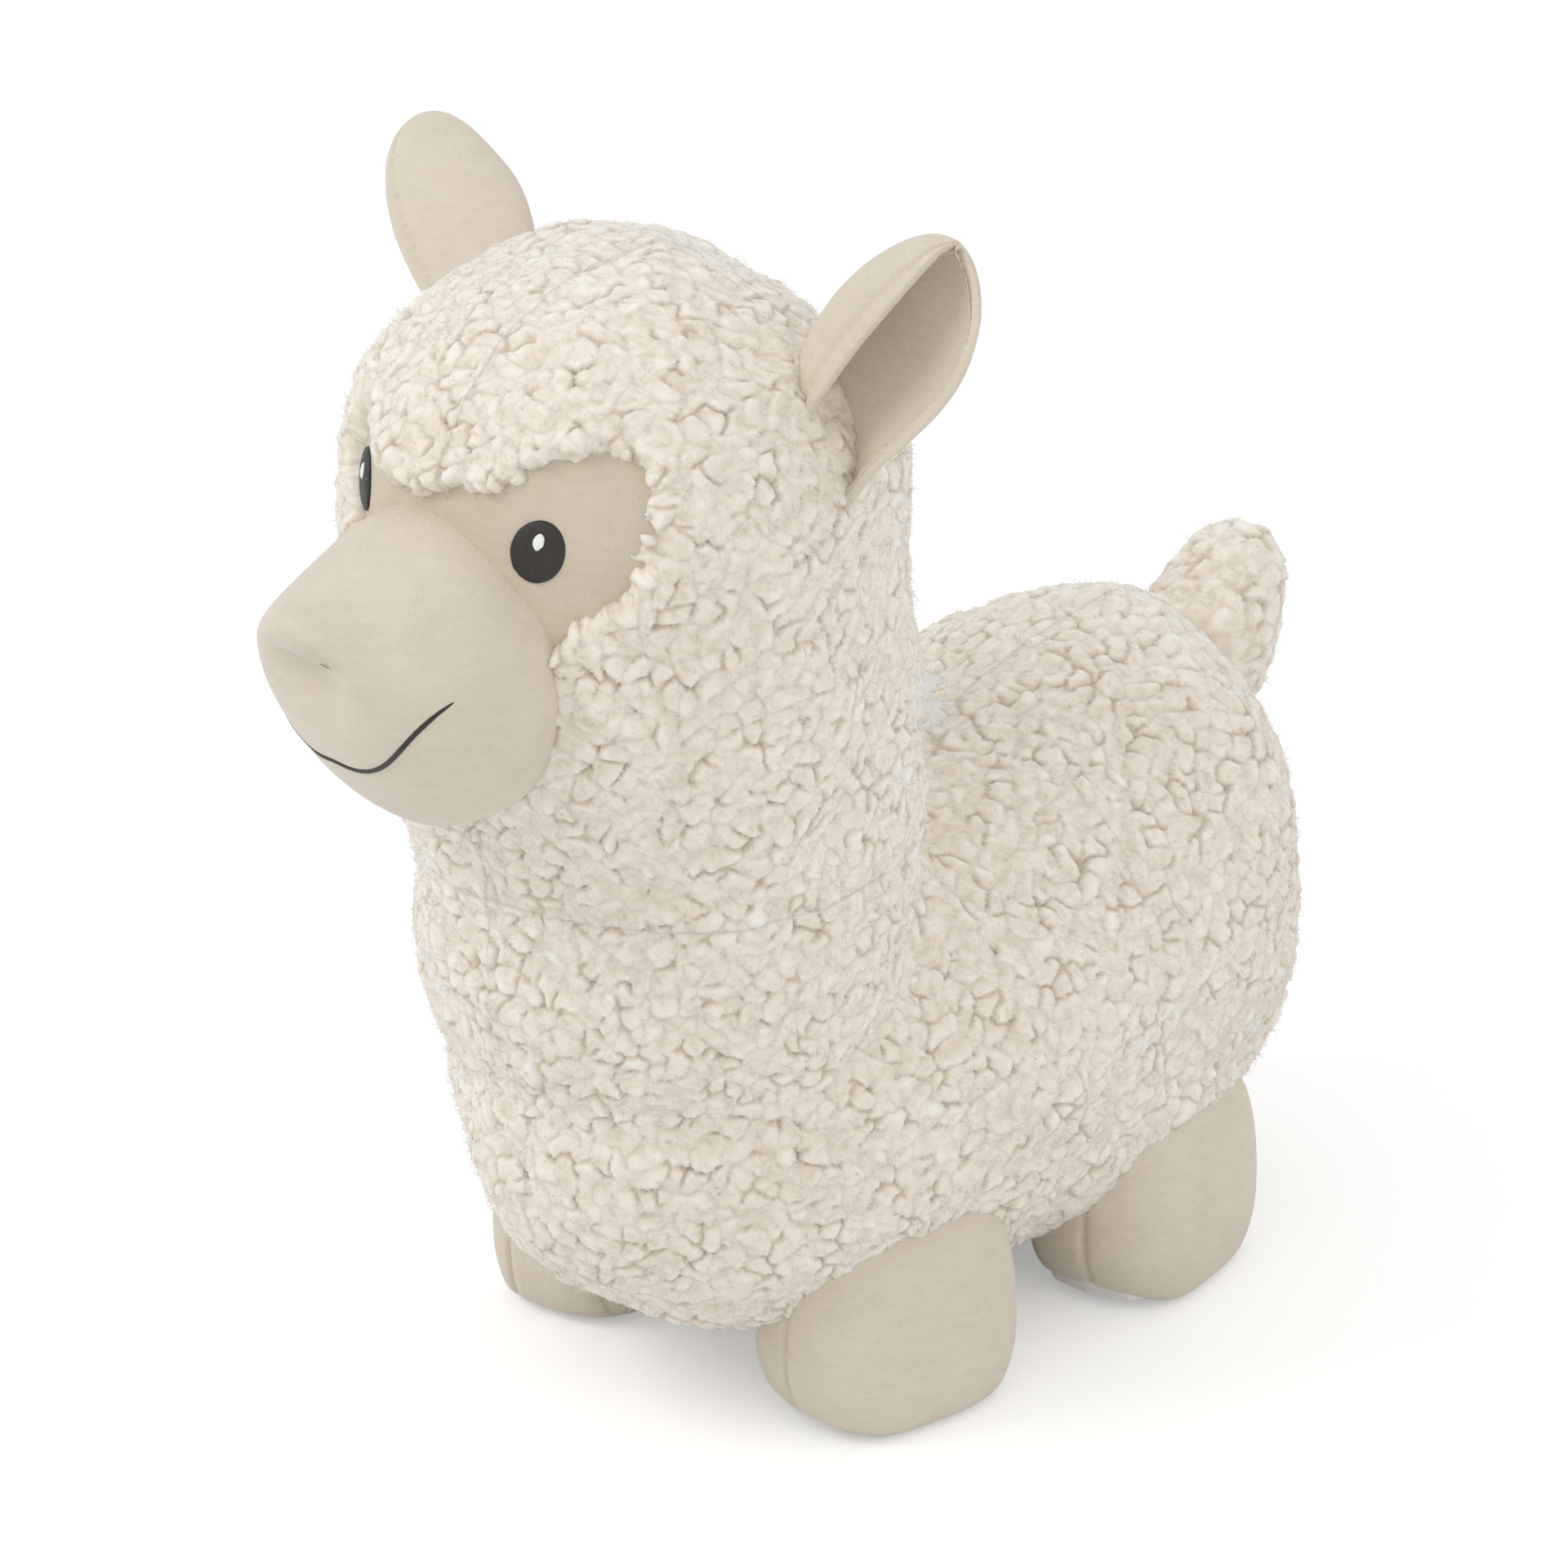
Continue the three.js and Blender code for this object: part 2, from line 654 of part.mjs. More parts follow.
const bellowsBody = (inset, over) => {
  const profile = bellowsProfile(inset);
  profile[0][1] -= over;
  profile[profile.length - 1][1] += over;
  return loft(
    profile.map(([radius, z]) =>
      ringOf(20, (angle) =>
        new THREE.Vector3(squeaker.x + radius * Math.cos(angle), squeaker.y + radius * Math.sin(angle), z),
      ),
    ),
  );
};
piece("squeaker_bellows", bellowsBody(0, 0).subtract(bellowsBody(bellowsWall, 1)), plasticMaterial);
const capBase = new THREE.Vector3(squeaker.x, squeaker.y, bellowsBase + bellowsHeight + gap);
piece("squeaker_cap", cylinder(squeakerRadius, squeakerCap, 24, capBase), plasticMaterial);

// Tail
const tailSkin = tailForm(0);
const tailPlace = new THREE.Matrix4()
  .makeTranslation(tailRoot.x, tailRoot.y, tailRoot.z)
  .multiply(new THREE.Matrix4().makeRotationX(radians(-tailBack)));
const tailBeyondRoot = block(-reach, -reach, 0, reach, reach, reach).transform(tailPlace.elements);
piece("tail_cover", tailSkin.subtract(tailForm(tailPile)).intersect(tailBeyondRoot), fleeceMaterial);
piece("tail_filling", tailForm(tailPile + gap).intersect(tailBeyondRoot), fibreMaterial);

// Feet
for (const side of [1, -1]) {
  for (const end of ["front", "rear"]) {
    const { x, y, toeOut } = feet[end];
    const place = new THREE.Matrix4()
      .makeTranslation(side * x, y, 0)
      .multiply(new THREE.Matrix4().makeRotationZ(radians(side * toeOut)));
    const inFoot = (x0, x1) => block(x0, -reach, -reach, x1, reach, reach).transform(place.elements);
    const strip = footGussetHalfWidth;
    const skin = footForm(side, end, 0).intersect(aboveFloor);
    const shell = skin.subtract(footForm(side, end, velour));
    const outside = side > 0 ? inFoot(strip + gap, reach) : inFoot(-reach, -strip - gap);
    const inside = side > 0 ? inFoot(-reach, -strip - gap) : inFoot(strip + gap, reach);
    const name = "foot_" + end + "_" + sideName[side];
    piece(name + "_outer", shell.intersect(outside), velourMaterial);
    piece(name + "_inner", shell.intersect(inside), velourMaterial);
    piece(name + "_gusset", shell.intersect(inFoot(-strip, strip)), velourMaterial);
    piece(name + "_filling", footForm(side, end, velour + gap), fibreMaterial);
  }
}

export default toy;
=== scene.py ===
# %% [markdown]
# # A stuffed alpaca dog toy
# The toy is sewn from two cloths. Curly fleece covers the torso, neck, head and tail, and smooth
# velour makes the face, the muzzle, the ears and the four short feet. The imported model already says
# where each sewn bag is and how it moves. This script gives every bag its real skin: curls that
# stand on a backing, seams, stitches, embroidery, and cloth with a nap.

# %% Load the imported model
import json
import math
import bmesh
import bpy
import numpy as np
from mathutils import Matrix, Vector, noise
from mathutils.bvhtree import BVHTree
from mathutils.kdtree import KDTree


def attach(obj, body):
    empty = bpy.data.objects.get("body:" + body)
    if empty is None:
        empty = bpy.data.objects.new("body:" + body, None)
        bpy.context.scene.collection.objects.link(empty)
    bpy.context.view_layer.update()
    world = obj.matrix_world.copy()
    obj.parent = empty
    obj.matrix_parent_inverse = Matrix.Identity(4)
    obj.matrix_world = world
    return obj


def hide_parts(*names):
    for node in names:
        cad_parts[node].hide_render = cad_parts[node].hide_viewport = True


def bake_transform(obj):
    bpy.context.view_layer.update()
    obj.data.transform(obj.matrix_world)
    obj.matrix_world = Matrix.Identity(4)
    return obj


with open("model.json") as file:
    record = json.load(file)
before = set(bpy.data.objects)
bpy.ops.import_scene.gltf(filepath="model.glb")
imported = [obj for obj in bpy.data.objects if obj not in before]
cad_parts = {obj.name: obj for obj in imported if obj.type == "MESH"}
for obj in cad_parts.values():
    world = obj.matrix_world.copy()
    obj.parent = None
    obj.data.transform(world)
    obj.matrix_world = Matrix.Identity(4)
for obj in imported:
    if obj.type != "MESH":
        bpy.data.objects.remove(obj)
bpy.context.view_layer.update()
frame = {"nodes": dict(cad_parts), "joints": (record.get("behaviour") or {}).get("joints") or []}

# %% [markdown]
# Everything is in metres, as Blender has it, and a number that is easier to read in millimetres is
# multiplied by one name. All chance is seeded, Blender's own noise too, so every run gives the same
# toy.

MM = 0.001
chance = np.random.default_rng(11)
noise.seed_set(11)
joints = {joint["name"]: joint for joint in frame["joints"]}
neck_pivot = Vector(joints["neck_nod"]["pos_m"])
seam_x = neck_pivot.x
both_sides = ((1, "left"), (-1, "right"))

# %% [markdown]
# The camera comes first, so that every later render can be laid beside the photograph. It sees the
# toy from its front left and from above. A long lens from far away keeps the near foot from
# swelling.

# %% Camera
camera_round = math.radians(43.8)
camera_up = math.radians(26.4)
camera_distance = 2.5
camera_aim = Vector((-0.001, -0.003, 0.131))
camera_data = bpy.data.cameras.new("camera")
camera_data.sensor_fit = "HORIZONTAL"
camera_data.sensor_width = 36
camera_data.lens = 255.5
camera = bpy.data.objects.new("camera", camera_data)
bpy.context.scene.collection.objects.link(camera)
level_reach = math.cos(camera_up)
towards_camera = Vector(
    (math.sin(camera_round) * level_reach, -math.cos(camera_round) * level_reach, math.sin(camera_up))
)
camera.location = camera_aim + towards_camera * camera_distance
camera.rotation_mode = "QUATERNION"
camera.rotation_quaternion = (-towards_camera).to_track_quat("-Z", "Y")
bpy.context.scene.camera = camera

# %% [markdown]
# Pale pile shows its curls only where the light comes from one side, so a broad lamp stands high at
# the camera's left, a weaker one at its right, and an even sky fills the rest. The sky looks white to
# the camera, to reflections and through clear things, while it lights the toy at a plain level.

# %% World and lamps
scene = bpy.context.scene
scene.view_settings.view_transform = "Standard"
sky_level = 0.80
world = bpy.data.worlds.new("studio")
scene.world = world
world.use_nodes = True
sky = world.node_tree
sky.nodes.clear()
rays = sky.nodes.new("ShaderNodeLightPath")
seen = rays.outputs["Is Camera Ray"]
for kind in ("Is Glossy Ray", "Is Transmission Ray"):
    either = sky.nodes.new("ShaderNodeMath")
    either.operation = "MAXIMUM"
    sky.links.new(seen, either.inputs[0])
    sky.links.new(rays.outputs[kind], either.inputs[1])
    seen = either.outputs[0]
level = sky.nodes.new("ShaderNodeMapRange")
level.inputs["To Min"].default_value = sky_level
level.inputs["To Max"].default_value = 1
sky.links.new(seen, level.inputs["Value"])
background = sky.nodes.new("ShaderNodeBackground")
background.inputs["Color"].default_value = (1, 1, 1, 1)
sky.links.new(level.outputs["Result"], background.inputs["Strength"])
world_output = sky.nodes.new("ShaderNodeOutputWorld")
sky.links.new(background.outputs[0], world_output.inputs["Surface"])


def softbox(name, place, size, watts):
    """A square lamp that looks at the middle of the toy."""
    data = bpy.data.lights.new(name, "AREA")
    data.shape = "SQUARE"
    data.size = size
    data.energy = watts
    lamp = bpy.data.objects.new(name, data)
    scene.collection.objects.link(lamp)
    lamp.location = place
    lamp.rotation_mode = "QUATERNION"
    lamp.rotation_quaternion = (camera_aim - Vector(place)).to_track_quat("-Z", "Y")


softbox("key_lamp", (-0.75, -1.25, 1.45), 0.8, 9)
softbox("side_lamp", (1.6, 0.2, 0.9), 1.0, 3)

# %% [markdown]
# Materials are sums of patterns, written as Python expressions: one small class wraps a socket, and
# adding or multiplying two of them adds the Math node that does it.

# %% Shader arithmetic
class Wire:
    """A socket that takes part in Python sums, each of which adds its Math node."""

    def __init__(self, tree, socket):
        self.tree = tree
        self.socket = socket

    def node(self, kind, settings=None, inputs=None, output=0):
        """Any node: its settings are set first, then its sockets get values or wires."""
        made = self.tree.nodes.new(kind)
        for name, value in (settings or {}).items():
            if name == "stops":
                for index, (place, colour) in enumerate(value):
                    stops = made.color_ramp.elements
                    stop = stops[index] if index < 2 else stops.new(place)
                    stop.position = place
                    stop.color = colour
            else:
                setattr(made, name, value)
        for key, value in (inputs or {}).items():
            if isinstance(value, Wire):
                self.tree.links.new(value.socket, made.inputs[key])
            else:
                made.inputs[key].default_value = value
        return Wire(self.tree, made.outputs[output])

    def sum(self, operation, first, second, clamp=False):
        return self.node(
            "ShaderNodeMath", {"operation": operation, "use_clamp": clamp}, {0: first, 1: second}
        )

    def __add__(self, other):
        return self.sum("ADD", self, other)

    def __radd__(self, other):
        return self.sum("ADD", other, self)

    def __sub__(self, other):
        return self.sum("SUBTRACT", self, other)

    def __rsub__(self, other):
        return self.sum("SUBTRACT", other, self)

    def __mul__(self, other):
        return self.sum("MULTIPLY", self, other)

    def __rmul__(self, other):
        return self.sum("MULTIPLY", other, self)

    def clamped(self):
        return self.sum("ADD", self, 0.0, clamp=True)

    def mixed(self, first, second):
        """The first colour where this is 0 and the second where it is 1."""
        return self.node(
            "ShaderNodeMix", {"data_type": "RGBA"}, {0: self, 6: first, 7: second}, output=2
        )

    def squeezed(self, height):
        """The place with its heights multiplied, which stretches or squeezes a pattern upwards."""
        return self.node("ShaderNodeMapping", None, {"Vector": self, "Scale": (1.0, 1.0, height)})

    def noise(self, scale, detail=2.0, roughness=0.5):
        return self.node(
            "ShaderNodeTexNoise",
            None,
            {"Vector": self, "Scale": scale, "Detail": detail, "Roughness": roughness},
        )


class Finish:
    """A material with one shader, whose sockets are set by name."""

    def __init__(self, name, **numbers):
        self.material = bpy.data.materials.new(name)
        self.material.use_nodes = True
        self.tree = self.material.node_tree
        self.shader = self.tree.nodes["Principled BSDF"]
        for socket, value in numbers.items():
            self.shader.inputs[socket.replace("_", " ")].default_value = value
        self.start = Wire(self.tree, None)
        self.place = self.start.node("ShaderNodeTexCoord", output=3)

    def attribute(self, name, output):
        return self.start.node("ShaderNodeAttribute", {"attribute_name": name}, output=output)

    def put(self, socket, wire):
        self.tree.links.new(wire.socket, self.shader.inputs[socket])

    def bump(self, height, distance, strength=1.0):
        bumped = self.start.node(
            "ShaderNodeBump", None, {"Height": height, "Distance": distance, "Strength": strength}
        )
        self.put("Normal", bumped)


def colour(red, green, blue):
    """A colour written as the screen shows it, from 0 to 255, as the shader wants it."""
    return tuple(((v / 255 + 0.055) / 1.055) ** 2.4 for v in (red, green, blue)) + (1.0,)


# %% [markdown]
# The fleece is a knitted backing with a curled polyester pile, which clumps into tufts. Its colour is
# painted pale on top of a tuft and warmer and darker in the creases round it: painted light and shade.
# Fine fibres swirl over it. The skin carries attributes: how much painted light a point gets from its
# height on the pile and its creases, and its place along and across the fibres.

# %% Fleece
def fleece_finish():
    finish = Finish(
        "curly_fleece", Roughness=0.95, Sheen_Weight=0.35, Sheen_Roughness=0.5,
        Subsurface_Weight=0.7, Subsurface_Radius=(1.0, 1.0, 1.0), Subsurface_Scale=0.0026,
    )
    # The "pile" attribute is the share of painted light: low in creases and pits, high on tuft tops.
    painted_light_share = finish.attribute("pile", 2)
    fibres = finish.attribute("grain", 1).noise(1.0, 3.0, 0.6)
    patches = finish.place.noise(48.0, 2.0)
    crumbs = finish.place.noise(700.0, 2.0)
    # The first colour is painted shade for the creases and pits, the second the pale pile of the tuft tops.
    painted_crease_shade = colour(223, 210, 190)
    tip = colour(255, 251, 243)
    # Painted light and shade by pile height and creases, mixed with the real random tone of fibres, patches
    # and crumbs.
    lit = (painted_light_share * 0.7 + fibres * 0.5 - 0.25 + patches * 0.3 - 0.15 + crumbs * 0.25 - 0.12).clamped()
    finish.put("Base Color", lit.mixed(painted_crease_shade, tip))
    finish.bump(fibres + crumbs * 0.4, 0.5 * MM, 0.5)
    return finish.material


fleece = fleece_finish()

# %% [markdown]
# Velour is a knit with a short, dense nap. Close to, the nap is a fine grain that is brushed this way
# and that, so its tone drifts in soft streaks.

# %% Velour
def velour_finish(name, dark, pale):
    finish = Finish(name, Roughness=0.85, Sheen_Weight=0.25, Sheen_Roughness=0.45)
    grain = finish.place.noise(1500.0, 3.0, 0.7)
    streaks = finish.place.squeezed(3.5).noise(170.0, 3.0, 0.6)
    drift = finish.place.noise(38.0, 2.0)
    tone = (grain * 0.6 + streaks * 0.45 + drift * 0.5 - 0.27).clamped()
    finish.put("Base Color", tone.mixed(dark, pale))
    finish.bump(grain * 0.6 + streaks * 0.5, 0.35 * MM, 0.7)
    return finish.material


velour = velour_finish("velour", colour(200, 189, 171), colour(231, 221, 205))
# The face panel gets a copy of the velour that is darker throughout.
face_cloth = velour_finish("face_velour", colour(190, 177, 158), colour(221, 209, 191))

# %% [markdown]
# Embroidery thread is laid side by side, and its fine ridges set it off from the nap. The dark thread
# makes the eyes, the brown one the mouth, and the white one the glint in each eye.

# %% Threads
def thread_finish(name, low, high):
    finish = Finish(name, Roughness=0.5, Sheen_Weight=0.03)
    laid = finish.place.squeezed(0.12).noise(2600.0, 2.0)
    finish.put("Base Color", laid.mixed(low, high))
    finish.bump(laid, 0.25 * MM, 0.9)
    return finish.material


dark_thread = thread_finish("dark_thread", colour(20, 16, 13), colour(50, 44, 39))
brown_thread = thread_finish("brown_thread", colour(22, 15, 9), colour(46, 35, 25))
white_thread = thread_finish("white_thread", colour(232, 230, 226), colour(255, 255, 253))

# %% [markdown]
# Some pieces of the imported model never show: the fibre that fills each bag and the squeaker in the
# belly. All but the muzzle's fibre keep their shapes, and they still get a finish, because someone
# may take the toy apart.

# %% Hidden pieces
def fibre_finish():
    finish = Finish("packed_fibre", Roughness=1.0, Sheen_Weight=0.3)
    wisps = finish.place.noise(420.0, 5.0, 0.7)
    finish.put("Base Color", wisps.mixed(colour(222, 220, 214), colour(250, 249, 246)))
    finish.bump(wisps, 0.8 * MM, 0.8)
    return finish.material


def squeaker_finish():
    finish = Finish("squeaker_plastic", Roughness=0.38)
    flow = finish.place.noise(240.0, 2.0)
    finish.put("Base Color", flow.mixed(colour(222, 219, 210), colour(238, 236, 229)))
    finish.bump(finish.place.noise(1800.0, 2.0), 0.05 * MM, 0.4)
    return finish.material


packed_fibre = fibre_finish()
squeaker_plastic = squeaker_finish()
for node_name, node in frame["nodes"].items():
    inner = packed_fibre if "filling" in node_name else squeaker_plastic
    if "filling" in node_name or node_name.startswith("squeaker"):
        node.data.materials.clear()
        node.data.materials.append(inner)

# %% [markdown]
# Every sewn bag is a closed skin through rings. A ring starts as a circle, its points are moved to
# the section that the bag has there, and neighbouring rings are bridged. Between the sections that
# were measured, a smooth curve runs through the numbers.

# %% Rings and skins
def smooth_between(rows, place):
    """The row at a place such as 2.4, on a smooth curve through all the rows."""
    i = min(int(place), len(rows) - 2)
    f = place - i
    around = [rows[max(0, min(len(rows) - 1, i + k))] for k in (-1, 0, 1, 2)]
    return [
        0.5 * (2 * b + (c - a) * f + (2 * a - 5 * b + 4 * c - d) * f**2 + (3 * (b - c) - a + d) * f**3)
        for a, b, c, d in zip(*around)
    ]


def full_ellipse(angle, fullness):
    """A point of a squarish ellipse of half size 1."""
    wide = math.copysign(abs(math.cos(angle)) ** (2 / fullness), math.cos(angle))
    high = math.copysign(abs(math.sin(angle)) ** (2 / fullness), math.sin(angle))
    return wide, high


def skin_through(rings):
    """A bmesh skin through rings of points, closed at both ends."""
    skin = bmesh.new()
    loops = []
    for ring in rings:
        made = bmesh.ops.create_circle(skin, segments=len(ring), radius=1)["verts"]
        for vert, place in zip(made, ring):
            vert.co = place
        loops.append(list({edge for vert in made for edge in vert.link_edges}))
    for lower, upper in zip(loops, loops[1:]):
        bmesh.ops.bridge_loops(skin, edges=lower + upper)
    for end in (loops[0], loops[-1]):
        bmesh.ops.contextual_create(skin, geom=end)
    bmesh.ops.recalc_face_normals(skin, faces=skin.faces)
    return skin


def placed(name, mesh, finish):
    """A smooth-shaded piece with its place in its mesh."""
    mesh.materials.append(finish)
    mesh.shade_smooth()
    piece = bpy.data.objects.new(name, mesh)
    scene.collection.objects.link(piece)
    return piece


def piece_from(skin, name, finish):
    mesh = bpy.data.meshes.new(name)
    skin.to_mesh(mesh)
    skin.free()
    return placed(name, mesh, finish)


def smoothed(skin, times=1):
    for _ in range(times):
        bmesh.ops.smooth_vert(
            skin, verts=skin.verts, factor=0.5, use_axis_x=True, use_axis_y=True, use_axis_z=True
        )


def cleaned(skin):
    """The skin with its doubles merged and its faces turned outwards."""
    bmesh.ops.remove_doubles(skin, verts=skin.verts, dist=1e-5)
    bmesh.ops.recalc_face_normals(skin, faces=skin.faces)
    return skin


def ring_angles(sides):
    return [2 * math.pi * (s + 0.5) / sides for s in range(sides)]


# %% [markdown]
# The torso is a plump loaf that is fuller behind than in front, and its back rises at the rump. The
# neck and head are one column with a round crown. Both are described by the same kind of sizes as
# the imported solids, and an inset makes the same form smaller, for what lies under the pile.

# %% Torso, neck and head forms
torso_middle = Vector((seam_x, 0.0165, 0.0735))
torso_half = Vector((0.066, 0.1125, 0.068))
rump_rise = 0.0175
back_dip = 0.0048
head_middle = Vector((seam_x, -0.061, 0.229))
head_radius = 0.0625
crown_height = 0.056
face_turn = Matrix.Rotation(math.radians(-4), 4, "Z")
neck_radius = 0.0575


def smoothstep(value, low=0.0, high=1.0):
    share = min(max((value - low) / (high - low), 0), 1)
    return share * share * (3 - 2 * share)


def torso_skin(inset):
    """A sphere, its poles to front and rear, moved out to the loaf."""
    skin = bmesh.new()
    bmesh.ops.create_uvsphere(skin, u_segments=72, v_segments=44, radius=1)
    bmesh.ops.rotate(skin, verts=skin.verts, matrix=Matrix.Rotation(math.pi / 2, 3, "X"))
    for vert in skin.verts:
        t = min(max(vert.co.y, -1), 1)
        fullness = 2.3 if t < 0 else 3.35
        wide = max(1 - abs(t) ** fullness, 0) ** (1 / fullness)
        across, up = full_ellipse(math.atan2(vert.co.z, vert.co.x), 2.2)
        y = torso_middle.y + (torso_half.y - inset) * t
        rise = (rump_rise * smoothstep(y, 0.022, 0.100) - back_dip) * wide if up > 0 else 0
        x = torso_middle.x + (torso_half.x - inset) * wide * across
        vert.co = (x, y, torso_middle.z + ((torso_half.z - inset) * wide + rise) * up)
    return cleaned(skin)


def column(z):
    """The y of the column's axis and its radius, at a height up to the head's widest level."""
    share = smoothstep(z, neck_pivot.z, head_middle.z)
    y = neck_pivot.y + (head_middle.y - neck_pivot.y) * share
    return y, neck_radius + (head_radius - neck_radius) * share


def head_level(z, inset):
    """The y of the head's axis and its radius at any height."""
    if z < neck_pivot.z:
        drop = min((neck_pivot.z - z) / (neck_radius - inset), 1)
        return neck_pivot.y, (neck_radius - inset) * math.sqrt(1 - drop * drop)
    if z < head_middle.z:
        y, radius = column(z)
        return y, radius - inset
    rise = min((z - head_middle.z) / (crown_height - inset), 1)
    return head_middle.y, (head_radius - inset) * math.sqrt(1 - rise * rise)


def head_skin(inset):
    """Half the outline, spun round the column's axis, which leans forward as it rises."""
    low = neck_pivot.z - neck_radius + inset
    high = head_middle.z + crown_height - inset
    levels = 70
    skin = bmesh.new()
    middle, half = (low + high) / 2, (high - low) / 2
    heights = [middle - half * math.cos(math.pi * i / levels) for i in range(levels + 1)]
    outline = [skin.verts.new((head_level(z, inset)[1], 0, z)) for z in heights]
    edges = [skin.edges.new(pair) for pair in zip(outline, outline[1:])]
    bmesh.ops.spin(
        skin, geom=outline + edges, cent=(0, 0, 0), axis=(0, 0, 1),
        angle=2 * math.pi, steps=72, use_merge=True,
    )
    for vert in skin.verts:
        vert.co.x += seam_x
        vert.co.y += head_level(vert.co.z, inset)[0]
    return cleaned(skin)


face_depth = 0.006


def on_head(x, z, rise):
    """The point of the turned face at x and z, a little above its velour."""
    y, radius = head_level(z, face_depth - rise)
    along = face_turn @ Vector((x - seam_x, -math.sqrt(max(radius**2 - (x - seam_x) ** 2, 0)), 0))
    return Vector((seam_x + along.x, y + along.y, z))


# %% [markdown]
# The muzzle is a bag of its own. It narrows to a blunt nose, which a pinch draws in: the cloth stands
# up as a soft ridge above it and sinks to a shallow hollow below. The rings follow measured sections,
# and the pinch is pressed into the finished skin.

# %% Muzzle
muzzle_back = -0.086
muzzle_reach = 0.068
muzzle_half = 0.0335
muzzle_chin = 0.1673
muzzle_height = 0.0712
tip_bulge = 0.0022
muzzle_rows = [
    # shares: of the reach, of the half width, and of the height at the bottom and the top
    (0.000, 0.776, 0.164, 0.881),
    (0.246, 0.925, 0.045, 0.985),
    (0.377, 0.985, 0.000, 1.000),
    (0.507, 1.000, 0.000, 0.985),
    (0.623, 0.955, 0.035, 0.940),
    (0.754, 0.851, 0.157, 0.885),
    (0.870, 0.701, 0.328, 0.836),
    (0.957, 0.522, 0.493, 0.800),
    (1.000, 0.373, 0.612, 0.776),
]
turn_face = Matrix.Translation(head_middle) @ face_turn @ Matrix.Translation(-head_middle)


def muzzle_ring(place, shrink=1.0, push=0.0, inset=0.0):
    out, wide, low, high = smooth_between(muzzle_rows, place)
    y = muzzle_back - out * muzzle_reach
    half_width = wide * muzzle_half - inset
    low = muzzle_chin + low * muzzle_height + inset
    high = muzzle_chin + high * muzzle_height - inset
    ring = []
    for angle in ring_angles(96):
        across, up = full_ellipse(angle, 1.8 if math.sin(angle) > 0 else 2.2)
        x = seam_x + half_width * across * shrink
        ring.append(Vector((x, y - push, (low + high) / 2 + (high - low) / 2 * up * shrink)))
    return ring


nose = Vector((seam_x, -0.154, 0.2220))
nose_depth = 0.03
ridge_height = 0.0034
hollow_depth = 0.0062
dimple_depth = 0.0022


def press_nose(vert):
    """The pinch: a ridge across the nose's top edge, and a hollow below it."""
    off = vert.co - nose
    if off.y > nose_depth:
        return
    across = math.exp(-((off.x / 0.011) ** 2))
    ridge = across * math.exp(-(((off.z + 0.0005) / 0.0035) ** 2)) * math.exp(-((off.y / 0.01) ** 2))
    hollow = math.exp(-((off.x / 0.0125) ** 2)) * math.exp(-(((off.z + 0.0135) / 0.0085) ** 2))
    dimple = math.exp(-(((off.x - 0.0085) / 0.004) ** 2) - (((off.z + 0.006) / 0.003) ** 2))
    vert.co += vert.normal * (ridge_height * ridge - hollow_depth * hollow - dimple_depth * dimple)


def make_muzzle_filling():
    """The packed fibre, well clear of the pinch."""
    last = len(muzzle_rows) - 1
    skin = skin_through([muzzle_ring(last * i / 30, inset=0.0058) for i in range(2, 24)])
    bmesh.ops.transform(skin, matrix=turn_face, verts=skin.verts)
    return piece_from(skin, "muzzle_fibre", packed_fibre)


def make_muzzle():
    last = len(muzzle_rows) - 1
    rings = [muzzle_ring(last * i / 60) for i in range(61)]
    for share in (0.97, 0.9, 0.78, 0.6, 0.4, 0.2, 0.06):
        rings.append(muzzle_ring(last, share, tip_bulge * math.sqrt(1 - share * share)))
    skin = skin_through(rings)
    skin.normal_update()
    for vert in skin.verts:
        press_nose(vert)
    smoothed(skin)
    bmesh.ops.transform(skin, matrix=turn_face, verts=skin.verts)
    return piece_from(skin, "muzzle_velour", velour)


muzzle_filling = make_muzzle_filling()
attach(muzzle_filling, "head")
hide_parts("muzzle_filling")
muzzle = make_muzzle()
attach(muzzle, "head")
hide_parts("muzzle_cover")

# %% [markdown]
# The face is one velour panel with an outline like a mask. Its edge lies under the curls. Rings of
# the outline, drawn in step by step to its middle, make an even net that is laid on the head.

# %% Face
face_half = [
    (0, 243), (13, 247), (20.5, 250.5), (27.5, 255.5), (33, 258), (39, 257), (43.6, 253),
    (46.8, 246), (47.3, 238), (46.3, 231), (42.7, 225), (36, 219), (30.4, 209), (17.5, 204),
]


def face_outline(per_span):
    """The outline as a smooth closed line of points (x, z), in metres."""
    half = [(x * MM, z * MM) for x, z in face_half]
    whole = half + [(-x, z) for x, z in reversed(half[1:])]
    closed = whole[-2:] + whole + whole[:3]
    places = [2 + i / per_span for i in range(len(whole) * per_span)]
    return [tuple(smooth_between(closed, place)) for place in places]


def make_face():
    middle = (0.0, 0.232)
    edge = face_outline(5)
    tuck = 0.0035
    steps = 26
    layers = [((i + 1) / steps, 0.0) for i in range(steps)]
    layers += [(1.0, -0.0012)] + [((steps - i) / steps, -0.0016) for i in range(1, steps)]
    rings = []
    for share, rise in layers:
        ring = []
        for x, z in edge:
            away = math.hypot(x - middle[0], z - middle[1])
            reach = (away + tuck) / away * share
            px = seam_x + middle[0] + (x - middle[0]) * reach
            ring.append(on_head(px, middle[1] + (z - middle[1]) * reach, rise))
        rings.append(ring)
    return piece_from(skin_through(rings), "face_velour", face_cloth)


face = make_face()
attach(face, "head")
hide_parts("face_panel")

# %% [markdown]
# The eyes are satin stitch: threads laid side by side over a little padding, so each is a low dome
# with ridges down it. A circle is drawn in to its middle ring by ring, laid on the face, and raised.

# %% Eyes
eye_x = {"left": 0.0275, "right": 0.0305}
eye_z = {"left": 0.2356, "right": 0.2325}
eye_half = (0.0060, 0.0069)
glint_half = (0.0012, 0.0018)
eye_turn = math.radians(29.1)


